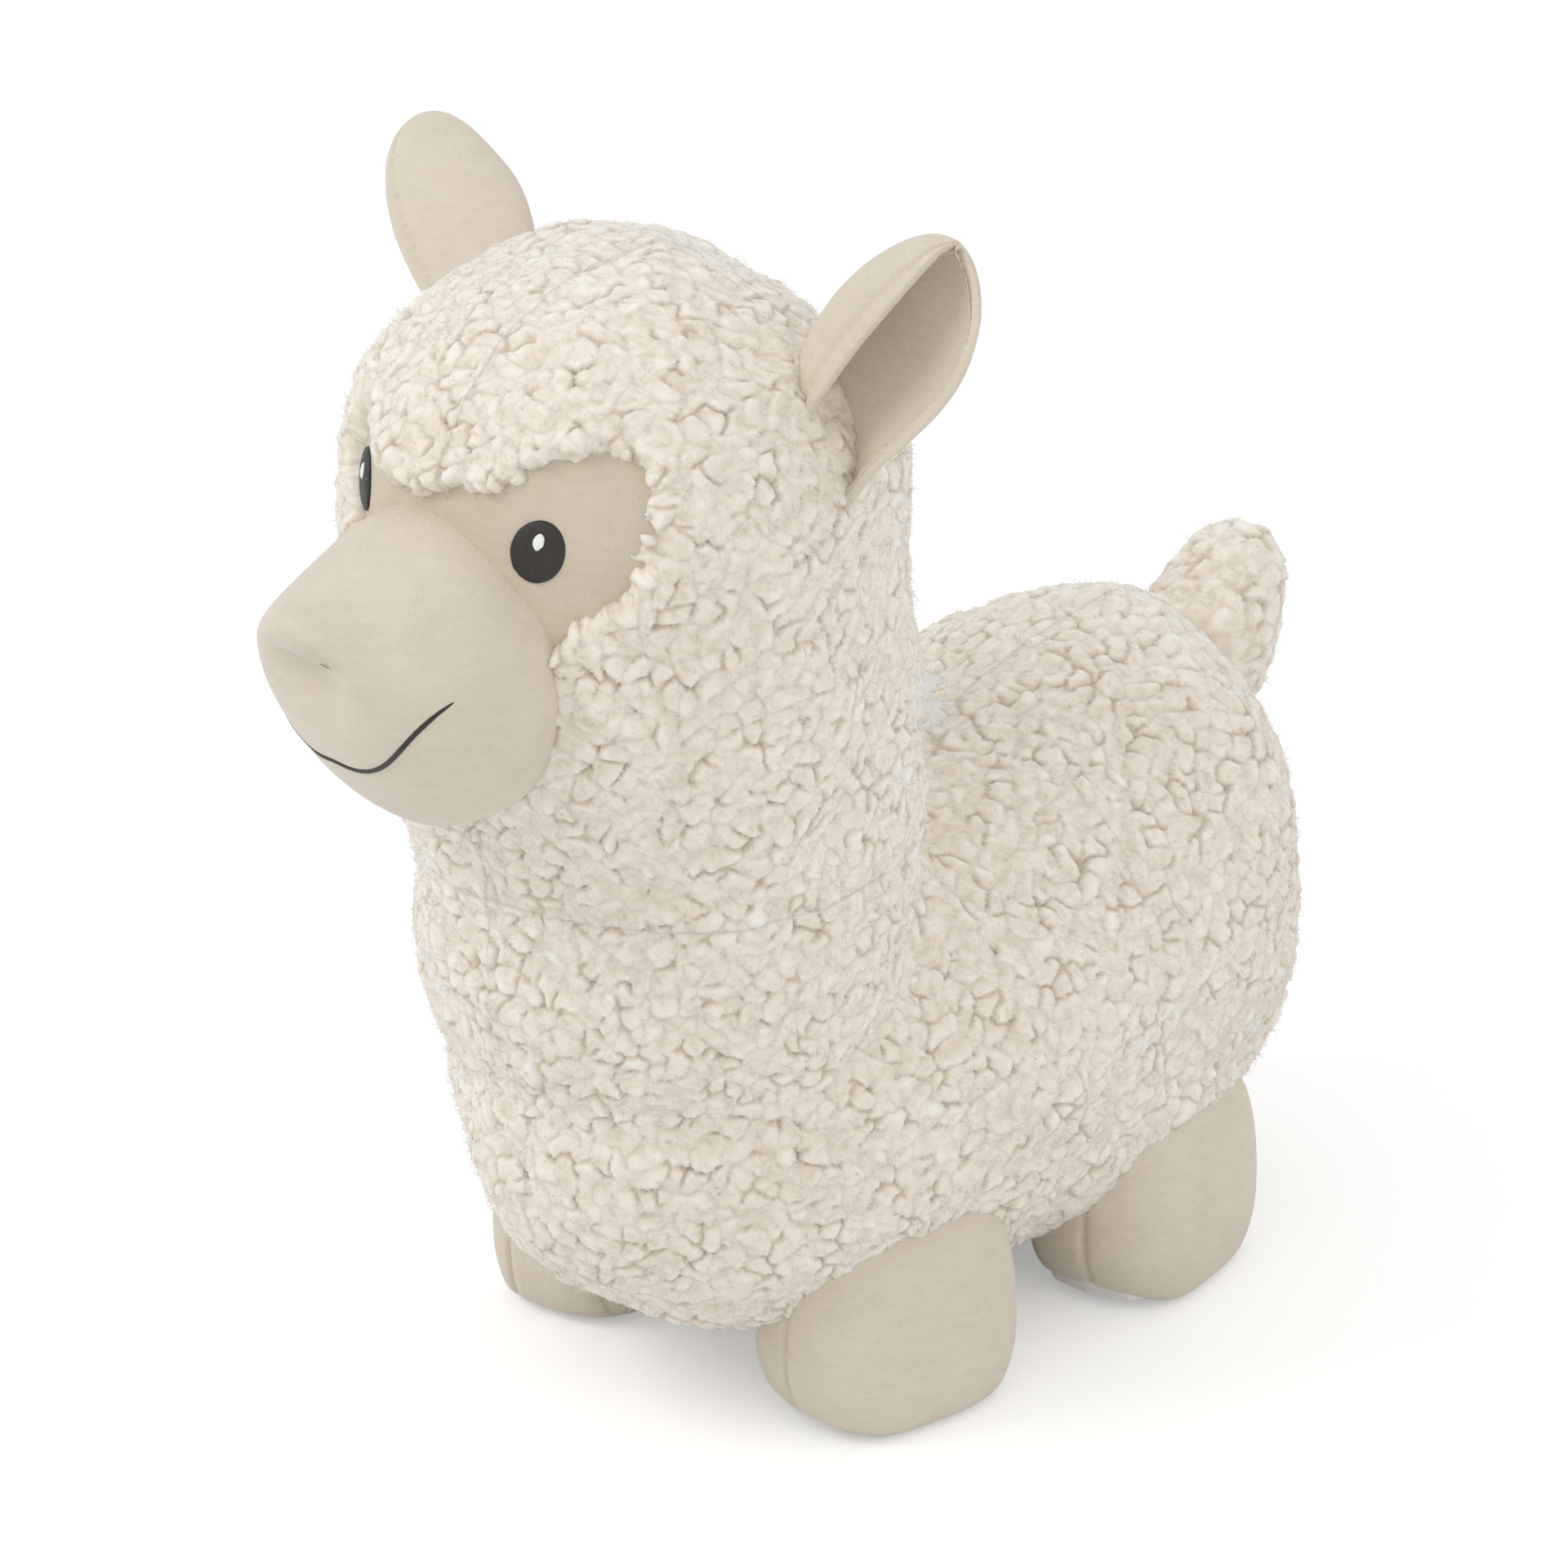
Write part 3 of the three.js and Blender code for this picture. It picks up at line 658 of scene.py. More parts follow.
def make_disc(name, side, x, z, half, rise, base, finish):
    """A low dome of thread, of a half width and height, a rise at its middle and a lift at its rim."""
    across = Vector((math.cos(eye_turn), side * math.sin(eye_turn), 0))
    rings = []
    for share in (1.0, 1.0, 0.97, 0.9, 0.8, 0.66, 0.5, 0.33, 0.16, 0.04):
        ring = []
        lift = base + rise * math.sqrt(1 - min(share, 0.999) ** 2) if rings else -0.0004
        for angle in ring_angles(48):
            out = across.x * half[0] * share * math.cos(angle)
            px = seam_x + side * x + out
            pz = z + half[1] * share * math.sin(angle)
            ridge = 0.00008 * math.cos(out / 0.00022)
            ring.append(on_head(px, pz, lift + (ridge if rings else 0)))
        rings.append(ring)
    disc = piece_from(skin_through(rings), name, finish)
    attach(disc, "head")
    return disc


for side, label in both_sides:
    x, z = eye_x[label], eye_z[label]
    eye = make_disc(f"eye_stitch_{label}", side, x, z, eye_half, 0.0009, 0.0003, dark_thread)
    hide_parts(f"eye_{label}")
    glint = make_disc(
        f"glint_stitch_{label}", side, x + side * 0.0008, z + 0.0027,
        glint_half, 0.0005, 0.0011, white_thread,
    )
    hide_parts(f"eye_glint_{label}")

# %% [markdown]
# The mouth is a narrow line of satin stitch, partly sunk into the nap, and more so on the toy's right.
# Rays from in front find where the line lies on the muzzle, and rings of thread are bridged along it.

# %% Mouth
def tree_of(piece):
    return BVHTree.FromObject(piece, bpy.context.evaluated_depsgraph_get())


muzzle_tree = tree_of(muzzle)


def on_muzzle(x, z):
    start = turn_face @ Vector((x, -0.5, z))
    ahead = face_turn @ Vector((0, 1, 0))
    place, normal, index, distance = muzzle_tree.ray_cast(start, ahead)
    return place, normal


mouth_radius = 0.00068
mouth_half = 0.029
mouth_level = 0.1866


def make_mouth():
    """A cord along the smile, whose share runs from -1 at the right end to 1 at the left one."""
    steps = 180
    shares = [-1 + 2 * i / steps for i in range(steps + 1)]
    line = []
    for share in shares:
        rise = 0.0225 * share**2.4 if share > 0 else 0.0120 * (-share) ** 2.8
        dip = 0.0015 * smoothstep(-share, 0, 0.35)
        line.append(on_muzzle(seam_x + mouth_half * share, mouth_level + rise - dip))
    rings = []
    for i, (share, (point, normal)) in enumerate(zip(shares, line)):
        before = line[max(i - 1, 0)][0]
        after = line[min(i + 1, steps)][0]
        along = (after - before).normalized()
        across = along.cross(normal).normalized()
        rounded = 0.25 + 0.75 * min(min(i, steps - i) / 7, 1) ** 0.5
        radius = mouth_radius * rounded * (1 + 0.05 * math.sin(i * 2.1))
        sunk = 0.35 + 0.45 * smoothstep(-share, 0.22, 0.42) * (1 - smoothstep(-share, 0.85, 1))
        middle = point - normal * mouth_radius * sunk
        rings.append(
            [middle + (normal * math.sin(a) + across * math.cos(a)) * radius for a in ring_angles(10)]
        )
    return piece_from(skin_through(rings), "mouth_thread", brown_thread)


mouth = make_mouth()
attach(mouth, "head")
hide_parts("mouth_stitch")

# %% [markdown]
# An ear is a leaf of two velour layers, sewn round the edge, turned, and folded into a cup where it
# goes into the fleece. A grid makes the leaf: its columns run round the cup and its rows up the ear.
# Solidify gives it its two layers, and the rim is drawn in to the tip.

# %% Ears
ear_length = {"left": 0.0520, "right": 0.0440}
ear_rows = [
    # share of the length, half width, half thickness, drift outwards
    (-0.30, 0.0140, 0.0078, -0.0004),
    (0.00, 0.0145, 0.0080, 0.0000),
    (0.20, 0.0165, 0.0086, 0.0006),
    (0.42, 0.0180, 0.0090, 0.0016),
    (0.62, 0.0172, 0.0086, 0.0026),
    (0.80, 0.0140, 0.0076, 0.0030),
    (0.92, 0.0098, 0.0060, 0.0026),
    (0.99, 0.0056, 0.0040, 0.0020),
    (1.03, 0.0012, 0.0010, 0.0018),
]
ear_rest = {"left": (24, 18), "right": (44, 30)}
ear_front_edge = {"left": 96, "right": 55}
ear_wrap = {"left": 254, "right": 245}
ear_fullness = {"left": 1.04, "right": 0.95}
ear_base = {"left": 0.0, "right": 0.22}
rim_stitch_depth = 0.0014
ear_cloth = 0.0022
ear_shift = {"left": Vector((0.0003, 0, 0)), "right": Vector((-0.0070, 0, 0))}


def ear_matrix(side, label):
    lean, back = ear_rest[label]
    turn = Matrix.Rotation(math.radians(-back), 4, "X") @ Matrix.Rotation(math.radians(side * lean), 4, "Y")
    return Matrix.Translation(Vector(joints[f"ear_flop_{label}"]["pos_m"]) + ear_shift[label]) @ turn


def ear_point(side, label, round_share, up_share):
    """A point of the leaf: 0 to 1 round the cup from rim to rim, and 0 to 1 up the ear."""
    share, half_width, half_thickness, drift = smooth_between(ear_rows, up_share * (len(ear_rows) - 1))
    angle = math.radians(ear_front_edge[label] + ear_wrap[label] * round_share)
    half_width *= ear_fullness[label] + ear_base[label] * (1 - smoothstep(up_share, 0.15, 0.60))
    from_rim = min(round_share, 1 - round_share)
    dash = 0.6 + 0.4 * math.cos(up_share * 170)
    inset = rim_stitch_depth * math.exp(-(((from_rim - 0.055) / 0.014) ** 2)) * dash
    across = side * (drift + (half_width - inset) * math.cos(angle))
    return Vector((across, -(half_thickness - inset) * math.sin(angle), share * ear_length[label]))


def make_ear(side, label):
    matrix = ear_matrix(side, label)
    skin = bmesh.new()
    bmesh.ops.create_grid(skin, x_segments=96, y_segments=72, size=1)
    for vert in skin.verts:
        vert.co = matrix @ ear_point(side, label, (vert.co.x + 1) / 2, (vert.co.y + 1) / 2)
    bmesh.ops.remove_doubles(skin, verts=skin.verts, dist=1e-5)
    middle = matrix.translation + matrix.to_3x3() @ Vector((0, 0, 0.02))
    facing = sum((face.calc_center_median() - middle).dot(face.normal) for face in skin.faces)
    if facing < 0:
        bmesh.ops.reverse_faces(skin, faces=skin.faces)
    ear = piece_from(skin, f"ear_velour_{label}", velour)
    layers = ear.modifiers.new("layers", "SOLIDIFY")
    layers.thickness = ear_cloth
    layers.offset = -1
    return subdivided(ear)


def applied(piece):
    """The piece with its modifiers made part of its mesh."""
    graph = bpy.context.evaluated_depsgraph_get()
    mesh = bpy.data.meshes.new_from_object(piece.evaluated_get(graph))
    piece.modifiers.clear()
    piece.data = mesh
    return piece


def subdivided(piece):
    finer = piece.modifiers.new("finer", "SUBSURF")
    finer.levels = 1
    finer.render_levels = 1
    return applied(piece)


for side, label in both_sides:
    ear = make_ear(side, label)
    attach(ear, f"ear_{label}")
    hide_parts(f"ear_back_{label}", f"ear_lining_{label}")

# %% [markdown]
# A foot is a stump of velour: two side panels and a strip that runs down the toe, under the sole and
# up the heel. Rings make the stump, which is cut along the two seams and drawn in there by the thread.

# %% Feet
foot_half = (0.0215, 0.0295)
foot_rows = [
    # height, share of the full section
    (0.0000, 0.70),
    (0.0004, 0.80),
    (0.0030, 0.915),
    (0.0130, 1.00),
    (0.0290, 0.985),
    (0.0420, 0.87),
    (0.0500, 0.60),
    (0.0525, 0.30),
]
foot_turn = {"front": -10, "rear": 12}
foot_shift = {"front_right": Vector((-0.0032, -0.0022, 0))}
foot_seams = {"left": (-0.0150, 0.0015), "right": (-0.0085, 0.0150)}
toe_lift = {"front_left": 0.005, "rear_left": 0.007, "front_right": 0.001, "rear_right": 0.005}
seam_groove = 0.0010
seam_puff = 0.0003


def foot_ring(z, reach):
    ring = []
    for angle in ring_angles(120):
        across, along = full_ellipse(angle, 2.8)
        ring.append(Vector((foot_half[0] * reach * across, foot_half[1] * reach * along, max(z, 0))))
    return ring


def make_foot(side, end, label):
    pivot = Vector(joints[f"foot_tilt_{end}_{label}"]["pos_m"])
    last = len(foot_rows) - 1
    rings = [foot_ring(0, foot_rows[0][1] * share) for share in (0.05, 0.35, 0.7, 0.9)]
    rings += [foot_ring(*smooth_between(foot_rows, last * i / 60)) for i in range(61)]
    skin = skin_through(rings)
    for seam in foot_seams[label]:
        for off in (-0.0018, -0.0009, -0.0004, 0, 0.0004, 0.0009, 0.0018):
            everything = skin.verts[:] + skin.edges[:] + skin.faces[:]
            bmesh.ops.bisect_plane(
                skin, geom=everything, plane_co=(seam + off, 0, 0), plane_no=(1, 0, 0), dist=1e-6
            )
    skin.normal_update()
    for vert in skin.verts:
        off = min(abs(vert.co.x - seam) for seam in foot_seams[label])
        above_sole = smoothstep(vert.co.z, 0.0, 0.004)
        groove = math.exp(-((off / 0.0006) ** 2)) * seam_groove
        puff = math.exp(-(((off - 0.003) / 0.002) ** 2)) * seam_puff
        vert.co += vert.normal * (puff - groove) * above_sole
        toe = smoothstep(-vert.co.y / foot_half[1], 0.35, 1.15)
        vert.co.z += toe_lift[f"{end}_{label}"] * toe * (1 - smoothstep(vert.co.z, 0.0, 0.026))
    shift = foot_shift.get(f"{end}_{label}", Vector())
    place = Matrix.Translation((pivot.x + shift.x, pivot.y + shift.y, 0))
    turn = Matrix.Rotation(math.radians(side * foot_turn[end]), 4, "Z")
    bmesh.ops.transform(skin, matrix=place @ turn, verts=skin.verts)
    return piece_from(skin, f"foot_velour_{end}_{label}", velour)


feet = {}
for side, label in both_sides:
    for end in ("front", "rear"):
        body = f"foot_{end}_{label}"
        foot = make_foot(side, end, label)
        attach(foot, body)
        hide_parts(f"{body}_outer", f"{body}_inner", f"{body}_gusset")
        feet[body] = foot

# %% [markdown]
# Under the curls lies the knitted backing, stuffed until torso and neck swell into each other. The
# two forms are put in one mesh, and a voxel remesh melts them into a single skin. It is smoothed,
# which rounds the fold where the neck meets the back, and subdivided once so that it can carry the
# tufts.

# %% Fleece backing
pile = {"torso": 0.0024, "head": 0.0014}
backing_voxel = 0.0017


def melted(name, *skins):
    """One skin round several overlapping ones."""
    whole = bmesh.new()
    for skin in skins:
        part = bpy.data.meshes.new(name)
        skin.to_mesh(part)
        skin.free()
        whole.from_mesh(part)
    piece = piece_from(whole, name, fleece)
    remesh = piece.modifiers.new("remesh", "REMESH")
    remesh.mode = "VOXEL"
    remesh.voxel_size = backing_voxel
    return applied(piece)


def make_backing():
    piece = melted("fleece_backing", torso_skin(pile["torso"]), head_skin(pile["head"]))
    skin = bmesh.new()
    skin.from_mesh(piece.data)
    smoothed(skin, times=16)
    skin.to_mesh(piece.data)
    skin.free()
    return subdivided(piece)


backing = make_backing()
print("backing faces", len(backing.data.polygons))

# %% [markdown]
# The tail is a tuft of the same fleece, sewn into the top of the rump and leaning back. It is a skin
# through rings, as the other bags are, and its root ends inside the torso's curls.

# %% Tail form
tail_root = Vector(joints["tail_flip"]["pos_m"])
tail_back = math.radians(37)
tail_size = (0.0150, 0.0137, 0.0425)
tail_middle = 0.0185
tail_base = 0.36
tail_sway = Vector((-0.0006, -0.0010, 0))


def tail_skin(inset):
    half = tail_size[2] - tail_middle - inset
    place = Matrix.Translation(tail_root) @ Matrix.Rotation(-tail_back, 4, "X")
    rings = []
    for level in (0.1, *range(1, 64), 63.9):
        t = -math.cos(math.pi * level / 64)
        wide = (1 - abs(t) ** 2.4) ** (1 / 2.4) * (1 + tail_base * (1 - smoothstep(t, -0.5, 0.7)))
        up = tail_middle + half * t
        sway = tail_sway * smoothstep(up, 0.004, 0.046)
        ring = []
        for angle in ring_angles(80):
            x = (tail_size[0] - inset) * wide * math.cos(angle)
            y = (tail_size[1] - inset) * wide * math.sin(angle)
            ring.append(place @ Vector((x, y, up)) + sway)
        rings.append(ring)
    return skin_through(rings)


tail = piece_from(tail_skin(0.0005), "tail_backing", fleece)

# %% [markdown]
# Tufts and hairs need points over a skin. They are thrown at random over its faces. For tufts, one
# that falls too near an earlier one is dropped.

# %% Spreading points
def rows_of(elements, field, width, kind=float):
    """A field of all of a mesh's elements as the rows of an array; the width is that of one element."""
    flat = np.empty(len(elements) * width, kind)
    elements.foreach_get(field, flat)
    return flat.reshape(-1, width)


def thrown(mesh, count):
    """Random points on a mesh, with the surface's normals there."""
    mesh.calc_loop_triangles()
    corners = rows_of(mesh.vertices, "co", 3)
    normals = rows_of(mesh.vertices, "normal", 3)
    triangles = rows_of(mesh.loop_triangles, "vertices", 3, np.int32)
    a, b, c = (corners[triangles[:, k]] for k in range(3))
    area = np.linalg.norm(np.cross(b - a, c - a), axis=1)
    chosen = chance.choice(len(area), count, p=area / area.sum())
    u, v = chance.random(count), chance.random(count)
    over = u + v > 1
    u[over], v[over] = 1 - u[over], 1 - v[over]
    w = 1 - u - v
    points = a[chosen] * w[:, None] + b[chosen] * u[:, None] + c[chosen] * v[:, None]
    out = sum(normals[triangles[chosen, k]] * s[:, None] for k, s in enumerate((w, u, v)))
    return points, unit(out)


def unit(rows):
    return rows / np.maximum(np.linalg.norm(rows, axis=1), 1e-9)[:, None]


def near_tree(points):
    tree = KDTree(len(points))
    for i, point in enumerate(points):
        tree.insert(point, i)
    tree.balance()
    return tree


def spread(points, spacing):
    """The points that keep their distance from every earlier one."""
    near = near_tree(points)
    state = np.zeros(len(points), np.int8)
    for i, point in enumerate(points):
        if state[i]:
            continue
        state[i] = 1
        for place, j, distance in near.find_range(point, spacing):
            if j > i and state[j] == 0:
                state[j] = 2
    return state == 1


def under(tree, points, margin):
    """Which points lie inside a closed piece, or nearer to it than the margin."""
    found = []
    for point in points:
        place, normal, index, distance = tree.find_nearest(Vector(point))
        found.append((Vector(point) - place).dot(normal) < margin)
    return np.array(found)


def soft(values, low=0.0, high=1.0):
    """A smooth step from 0 to 1, for whole arrays."""
    share = np.clip((values - low) / (high - low), 0, 1)
    return share * share * (3 - 2 * share)


# %% [markdown]
# The fleece ends at the face's outline, where its cut edge rolls down onto the velour. How far a
# point is from that outline, in the frame of the turned face, says how far down it rolls.

# %% Distance to the face
def hung(x, z):
    """A point of the face's outline, moved to where the curls hang over it on the right."""
    if x >= 0:
        return x, z
    over_brow = 0.0052 * smoothstep(-x, 0.000, 0.012) + 0.0030 * smoothstep(-x, 0.012, 0.030)
    if z < 0.240:
        over_brow = 0
    return x + 0.0085 * smoothstep(-x, 0.024, 0.046), z - over_brow


def face_distance(points):
    """Metres outside the face's outline, seen from the front, and large behind the head's middle."""
    ahead = (points - np.array(head_middle)) @ np.array(face_turn.to_3x3())
    found = np.full(len(points), 0.1)
    close = np.flatnonzero((ahead[:, 1] < 0) & (points[:, 2] > 0.195) & (points[:, 2] < 0.27))
    px, pz = ahead[close, 0], points[close, 2]
    nearest = np.full(len(close), 0.1)
    inside = np.zeros(len(close), bool)
    line = [hung(x, z) for x, z in face_outline(3)]
    for (x0, z0), (x1, z1) in zip(line, line[1:] + line[:1]):
        run, rise = x1 - x0, z1 - z0
        share = np.clip(((px - x0) * run + (pz - z0) * rise) / (run * run + rise * rise), 0, 1)
        nearest = np.minimum(nearest, np.hypot(x0 + share * run - px, z0 + share * rise - pz))
        if z0 != z1:
            crosses = (z0 > pz) != (z1 > pz)
            inside ^= crosses & (px < x0 + (pz - z0) * run / rise)
    found[close] = np.where(inside, -nearest, nearest)
    return found


# %% [markdown]
# The pile clumps into tufts as a fleece does when it is washed. Folded noise makes the clumps: it is
# round on top and sharp where it turns. Short creases are opened between cells that each own the
# skin nearest to their middle, but only along some of their borders, and a pit opens here and there
# where three cells meet. Each cell also says which way the fibres swirl over it.

# %% Tufts
tuft_spacing = 0.0044
cell_stretch = 2.6
crease_depth = 0.0008
pit_depth = 0.0009
cell_tilt = 0.0007
clump_height = 0.0008
clump_middle = 0.4
hem_reach = 0.0036
hem_drop = 0.0066


def tufted(mesh, throws, hem):
    """Displaces a mesh into tufts; returns its corners, its share of painted light and shade, its fibres
    and its hem distances.
    """
    corners = rows_of(mesh.vertices, "co", 3)
    normals = rows_of(mesh.vertices, "normal", 3)
    seeds, outward = thrown(mesh, throws)
    keep = spread(seeds, tuft_spacing)
    seeds, outward = seeds[keep], outward[keep]
    lean = unit(np.cross(outward, chance.normal(0, 1, outward.shape)))
    across = np.cross(outward, lean)
    lift = chance.normal(0, 1, len(seeds))
    hand = chance.choice((-1.0, 1.0), len(seeds))
    tree = near_tree(seeds)
    several = 5
    near = np.zeros((len(corners), several), int)
    wander = np.zeros((len(corners), 3))
    rough = np.zeros((len(corners), 6))
    for i, corner in enumerate(corners):
        place = Vector(corner)
        fine_shift = noise.noise_vector(place * 310)
        shift = fine_shift * 0.0010 + noise.noise_vector(place * 120) * 0.0026
        wander[i] = place + shift
        near[i] = [j for spot, j, distance in tree.find_n(place + shift, several)]
        curled = place + fine_shift * 0.0016
        rough[i] = (
            noise.noise(place * 150), noise.noise(place * 62), noise.noise(place * 420),
            noise.noise(place * 215), noise.noise(place * 26), noise.noise(curled * 240),
        )
    gap = wander[:, None] - seeds[near]
    long_way = (gap * lean[near]).sum(2)
    reach = np.sqrt(np.maximum((gap**2).sum(2) - (1 - 1 / cell_stretch) * long_way**2, 0))
    order = np.argsort(reach, axis=1)
    away = np.take_along_axis(reach, order, 1)
    owner = np.take_along_axis(near, order, 1)[:, 0]
    open_here = soft(rough[:, 0] + 0.6 * rough[:, 3], 0.02, 0.40)
    border = (away[:, 1] - away[:, 0]) / tuft_spacing
    meeting = (away[:, 2] - away[:, 0]) / tuft_spacing
    crease = (1 - soft(border, 0, 0.30)) * open_here
    pit = (1 - soft(meeting, 0, 0.26)) * soft(rough[:, 3], 0.05, 0.35)
    offset = corners - seeds[owner]
    along = (offset * lean[owner]).sum(1)
    beside = (offset * across[owner]).sum(1)
    tilt = np.clip(beside / tuft_spacing, -0.6, 0.6) * hand[owner] * soft(border, 0.0, 0.5)
    clumps = np.sqrt(np.abs(rough[:, 5]) + 0.01) - clump_middle
    height = -crease_depth * crease - pit_depth * pit + cell_tilt * tilt + clump_height * clumps
    height += 0.0014 * rough[:, 1] + 0.0009 * rough[:, 0] + 0.0003 * rough[:, 2]
    height += 0.0030 * rough[:, 4]
    far = np.full(len(corners), 0.1)
    if hem:
        far = face_distance(corners)
        height += swellings(corners) * soft(far, 0.0005, 0.0065)
    ragged = far + 0.0022 * rough[:, 0] + 0.0012 * rough[:, 2]
    share = np.clip(ragged / hem_reach, 0, 1)
    height -= hem_drop * (1 - np.sqrt(1 - (1 - share) ** 2))
    swirl = hand[owner] * np.linalg.norm(offset, axis=1) / tuft_spacing * 1.9
    grain = np.empty((len(corners), 3))
    grain[:, 0] = (along * np.cos(swirl) - beside * np.sin(swirl)) / MM * 0.35
    grain[:, 1] = (along * np.sin(swirl) + beside * np.cos(swirl)) / MM * 1.3
    grain[:, 2] = lift[owner] * 23
    # Painted light and shade: the colour goes darker in creases and pits, and paler on raised clumps and on
    # the raised side of tilted cells.
    painted_light_share = np.clip(0.62 - 0.75 * crease - 0.6 * pit + 0.3 * tilt + 0.5 * clumps, 0, 1)
    return corners + normals * height[:, None], painted_light_share, grain, far


def swellings(points):
    """Broad places where the stuffing stands out more, or less."""
    found = np.zeros(len(points))
    for place, size, rise in stuffing:
        spot = np.array((seam_x, 0, 0)) + np.array(place)
        found += rise * np.exp(-((np.linalg.norm(points - spot, axis=1) / size) ** 2))
    return found


stuffing = [
    # place from the seam, size, and how far it stands out
    ((-0.044, -0.103, 0.247), 0.024, 0.0014),
    ((-0.044, -0.103, 0.213), 0.022, 0.0020),
    ((0.012, -0.021, 0.269), 0.028, -0.0036),
    ((0.045, -0.018, 0.222), 0.024, 0.0020),
    ((0.000, 0.108, 0.142), 0.020, 0.0068),
    ((0.030, 0.100, 0.118), 0.022, 0.0032),
    ((-0.0345, -0.0795, 0.078), 0.022, 0.0024),
    ((-0.0345, -0.0795, 0.045), 0.018, -0.0026),
]


def mesh_piece(name, corners, faces, painted_light_share, grain):
    """A fleece piece with the attributes that its finish reads."""
    mesh = bpy.data.meshes.new(name)
    mesh.from_pydata(corners, [], faces)
    # The "pile" attribute carries the share of painted light and shade that the fleece finish reads.
    mesh.attributes.new("pile", "FLOAT", "POINT").data.foreach_set("value", painted_light_share.astype(np.float32))
    fibres = mesh.attributes.new("grain", "FLOAT_VECTOR", "POINT")
    fibres.data.foreach_set("vector", grain.astype(np.float32).ravel())
    return placed(name, mesh, fleece)


# %% [markdown]
# Single hairs soften the tufts' outline. A hair is a thin three-sided horn: a circle spun along an arc
# and drawn in towards its tip. Four horns are enough, because each copy has its own size and lean.

# %% Hairs
def horn(curl, sweep, girth, twist):
    """A hair that rises along z and curls over towards x, in millimetres."""
    skin = bmesh.new()
    bmesh.ops.create_circle(skin, segments=3, radius=girth)
    bmesh.ops.spin(
        skin, geom=skin.verts[:] + skin.edges[:], cent=(curl, 0, 0), axis=(0, 1, 0), angle=sweep, steps=2
    )
    for vert in skin.verts:
        share = min(max(math.atan2(vert.co.z, curl - vert.co.x) / sweep, 0), 1)
        middle = Vector((curl - curl * math.cos(share * sweep), 0, curl * math.sin(share * sweep)))
        vert.co = middle + (vert.co - middle) * (1 - 0.65 * share) + Vector((0, twist * share**2, 0))
    bmesh.ops.holes_fill(skin, edges=[edge for edge in skin.edges if edge.is_boundary])
    bmesh.ops.triangulate(skin, faces=skin.faces)
    bmesh.ops.recalc_face_normals(skin, faces=skin.faces)
    corners = np.array([vert.co for vert in skin.verts])
    faces = np.array([[vert.index for vert in face.verts] for face in skin.faces])
    skin.free()
    return corners, faces


hair_shapes = [
    horn(1.3, math.radians(105), 0.09, 0.5),
    horn(1.9, math.radians(90), 0.08, -0.7),
    horn(1.0, math.radians(125), 0.10, 0.8),
    horn(1.5, math.radians(110), 0.08, -0.4),
]
faces_per_hair = len(hair_shapes[0][1])


def hairs(name, mesh, per_square_metre, covers):
    """Hairs over a fleece piece, apart from where another piece covers it."""
    area = sum(face.area for face in mesh.polygons)
    points, outward = thrown(mesh, int(area * per_square_metre))
    free = np.ones(len(points), bool)
    for tree in covers:
        free &= ~under(tree, points, 0.0005)
    points, outward = points[free], outward[free]
    rise = unit(outward + chance.normal(0, 0.45, points.shape))
    lean = unit(np.cross(rise, chance.normal(0, 1, points.shape)))
    side = np.cross(rise, lean)
    size = chance.uniform(0.6, 1.25, len(points)) * MM
    kind = chance.integers(0, len(hair_shapes), len(points))
    all_corners, all_faces, start = [], [], 0
    for k, (shape, faces) in enumerate(hair_shapes):
        mine = np.flatnonzero(kind == k)
        axes = np.stack([lean[mine], side[mine], rise[mine]], 1)
        moved = np.einsum("vk,nkd->nvd", shape, axes) * size[mine, None, None]
        moved += (points[mine] - outward[mine] * 0.0003)[:, None]
        all_corners.append(moved.reshape(-1, 3))
        offsets = start + np.arange(len(mine)) * len(shape)
        all_faces.append((faces[None] + offsets[:, None, None]).reshape(-1, 3))
        start += len(mine) * len(shape)
    corners = np.concatenate(all_corners)
    # The hairs take the pale top colour, with no painted crease shade.
    painted_light_share = np.full(len(corners), 1.0)
    return mesh_piece(name, corners, np.concatenate(all_faces), painted_light_share, corners * 900)
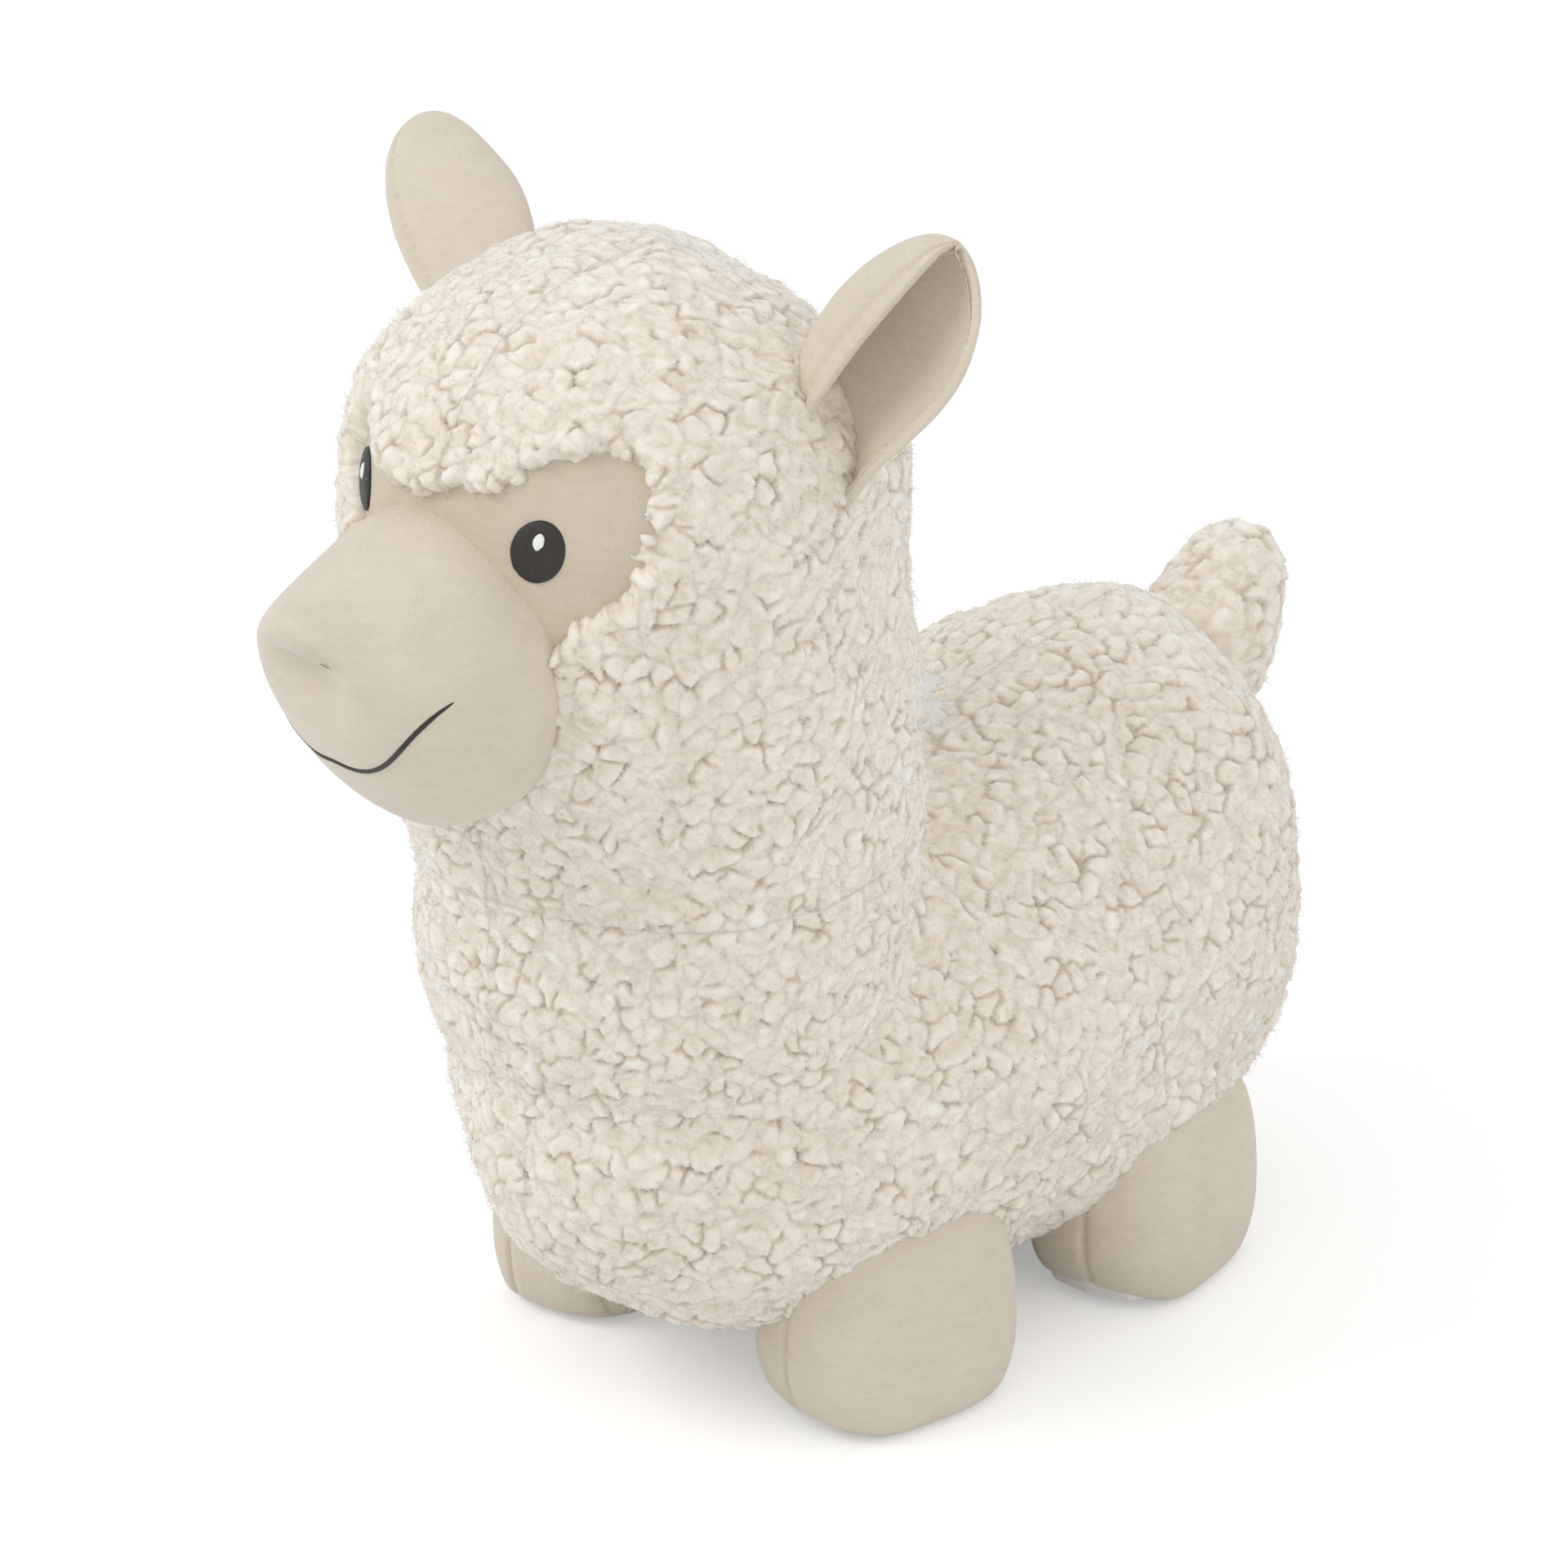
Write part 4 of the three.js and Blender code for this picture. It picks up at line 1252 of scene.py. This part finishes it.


# %% [markdown]
# Now the toy gets its coat. The fleece is sewn from a left and a right half, on the torso and on the
# head, and each of the four pieces gets its own hairs.

# %% Coat
neck_seam = 0.142
nape = 0.012
hem_tuck = 0.0022
hair_density = 200000
covers = [muzzle_tree] + [tree_of(foot) for foot in feet.values()]
corners, painted_light_share, grain, far = tufted(backing.data, 60000, hem=True)
faces = rows_of(backing.data.loops, "vertex_index", 1, np.int32).reshape(-1, 4)
faces = faces[far[faces].max(1) > -hem_tuck]
middles = corners[faces].mean(1)
on_head_side = (middles[:, 2] > neck_seam) & (middles[:, 1] < nape)
on_left = middles[:, 0] > seam_x
for part, is_head in (("torso", False), ("head", True)):
    for label, is_left in (("left", True), ("right", False)):
        mine = faces[(on_head_side == is_head) & (on_left == is_left)]
        used, renumbered = np.unique(mine, return_inverse=True)
        coat = mesh_piece(
            f"{part}_fleece_{label}", corners[used], renumbered.reshape(-1, 4), painted_light_share[used], grain[used]
        )
        fuzz = hairs(f"{part}_fuzz_{label}", coat.data, hair_density, covers)
        for piece in (coat, fuzz):
            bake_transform(piece)
        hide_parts(f"{part}_cover_{label}")
        hair_count = len(fuzz.data.polygons) // faces_per_hair
        print(coat.name, len(coat.data.polygons), "hairs", hair_count)

corners, painted_light_share, grain, far = tufted(tail.data, 4000, hem=False)
tail_faces = [tuple(face.vertices) for face in tail.data.polygons]
tail_coat = mesh_piece("tail_fleece", corners, tail_faces, painted_light_share, grain)
tail_fuzz = hairs("tail_fuzz", tail_coat.data, hair_density, [])
for piece in (tail_coat, tail_fuzz):
    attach(piece, "tail")
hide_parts("tail_cover")
bpy.data.objects.remove(tail)
bpy.data.objects.remove(backing)

# %% [markdown]
# The toy stands on white paper. It takes the toy's shadow, and the camera sees a little more light on
# it, so that it runs out into the white behind.

# %% Floor
def make_floor():
    skin = bmesh.new()
    bmesh.ops.create_grid(skin, x_segments=1, y_segments=1, size=3)
    bmesh.ops.translate(skin, vec=(0, 0, -0.0005), verts=skin.verts)
    paper = Finish("paper", Roughness=1.0, Base_Color=(0.86, 0.86, 0.86, 1))
    looked_at = paper.start.node("ShaderNodeLightPath", output=0)
    reflected = paper.start.node("ShaderNodeLightPath", output=3)
    glow_level = (looked_at + reflected).clamped() * 0.3
    glow = paper.start.node(
        "ShaderNodeEmission", None, {"Color": (1, 1, 1, 1), "Strength": glow_level}
    )
    both = paper.start.node(
        "ShaderNodeAddShader", None, {0: Wire(paper.tree, paper.shader.outputs[0]), 1: glow}
    )
    paper.tree.links.new(both.socket, paper.tree.nodes["Material Output"].inputs["Surface"])
    floor = piece_from(skin, "floor", paper.material)


make_floor()
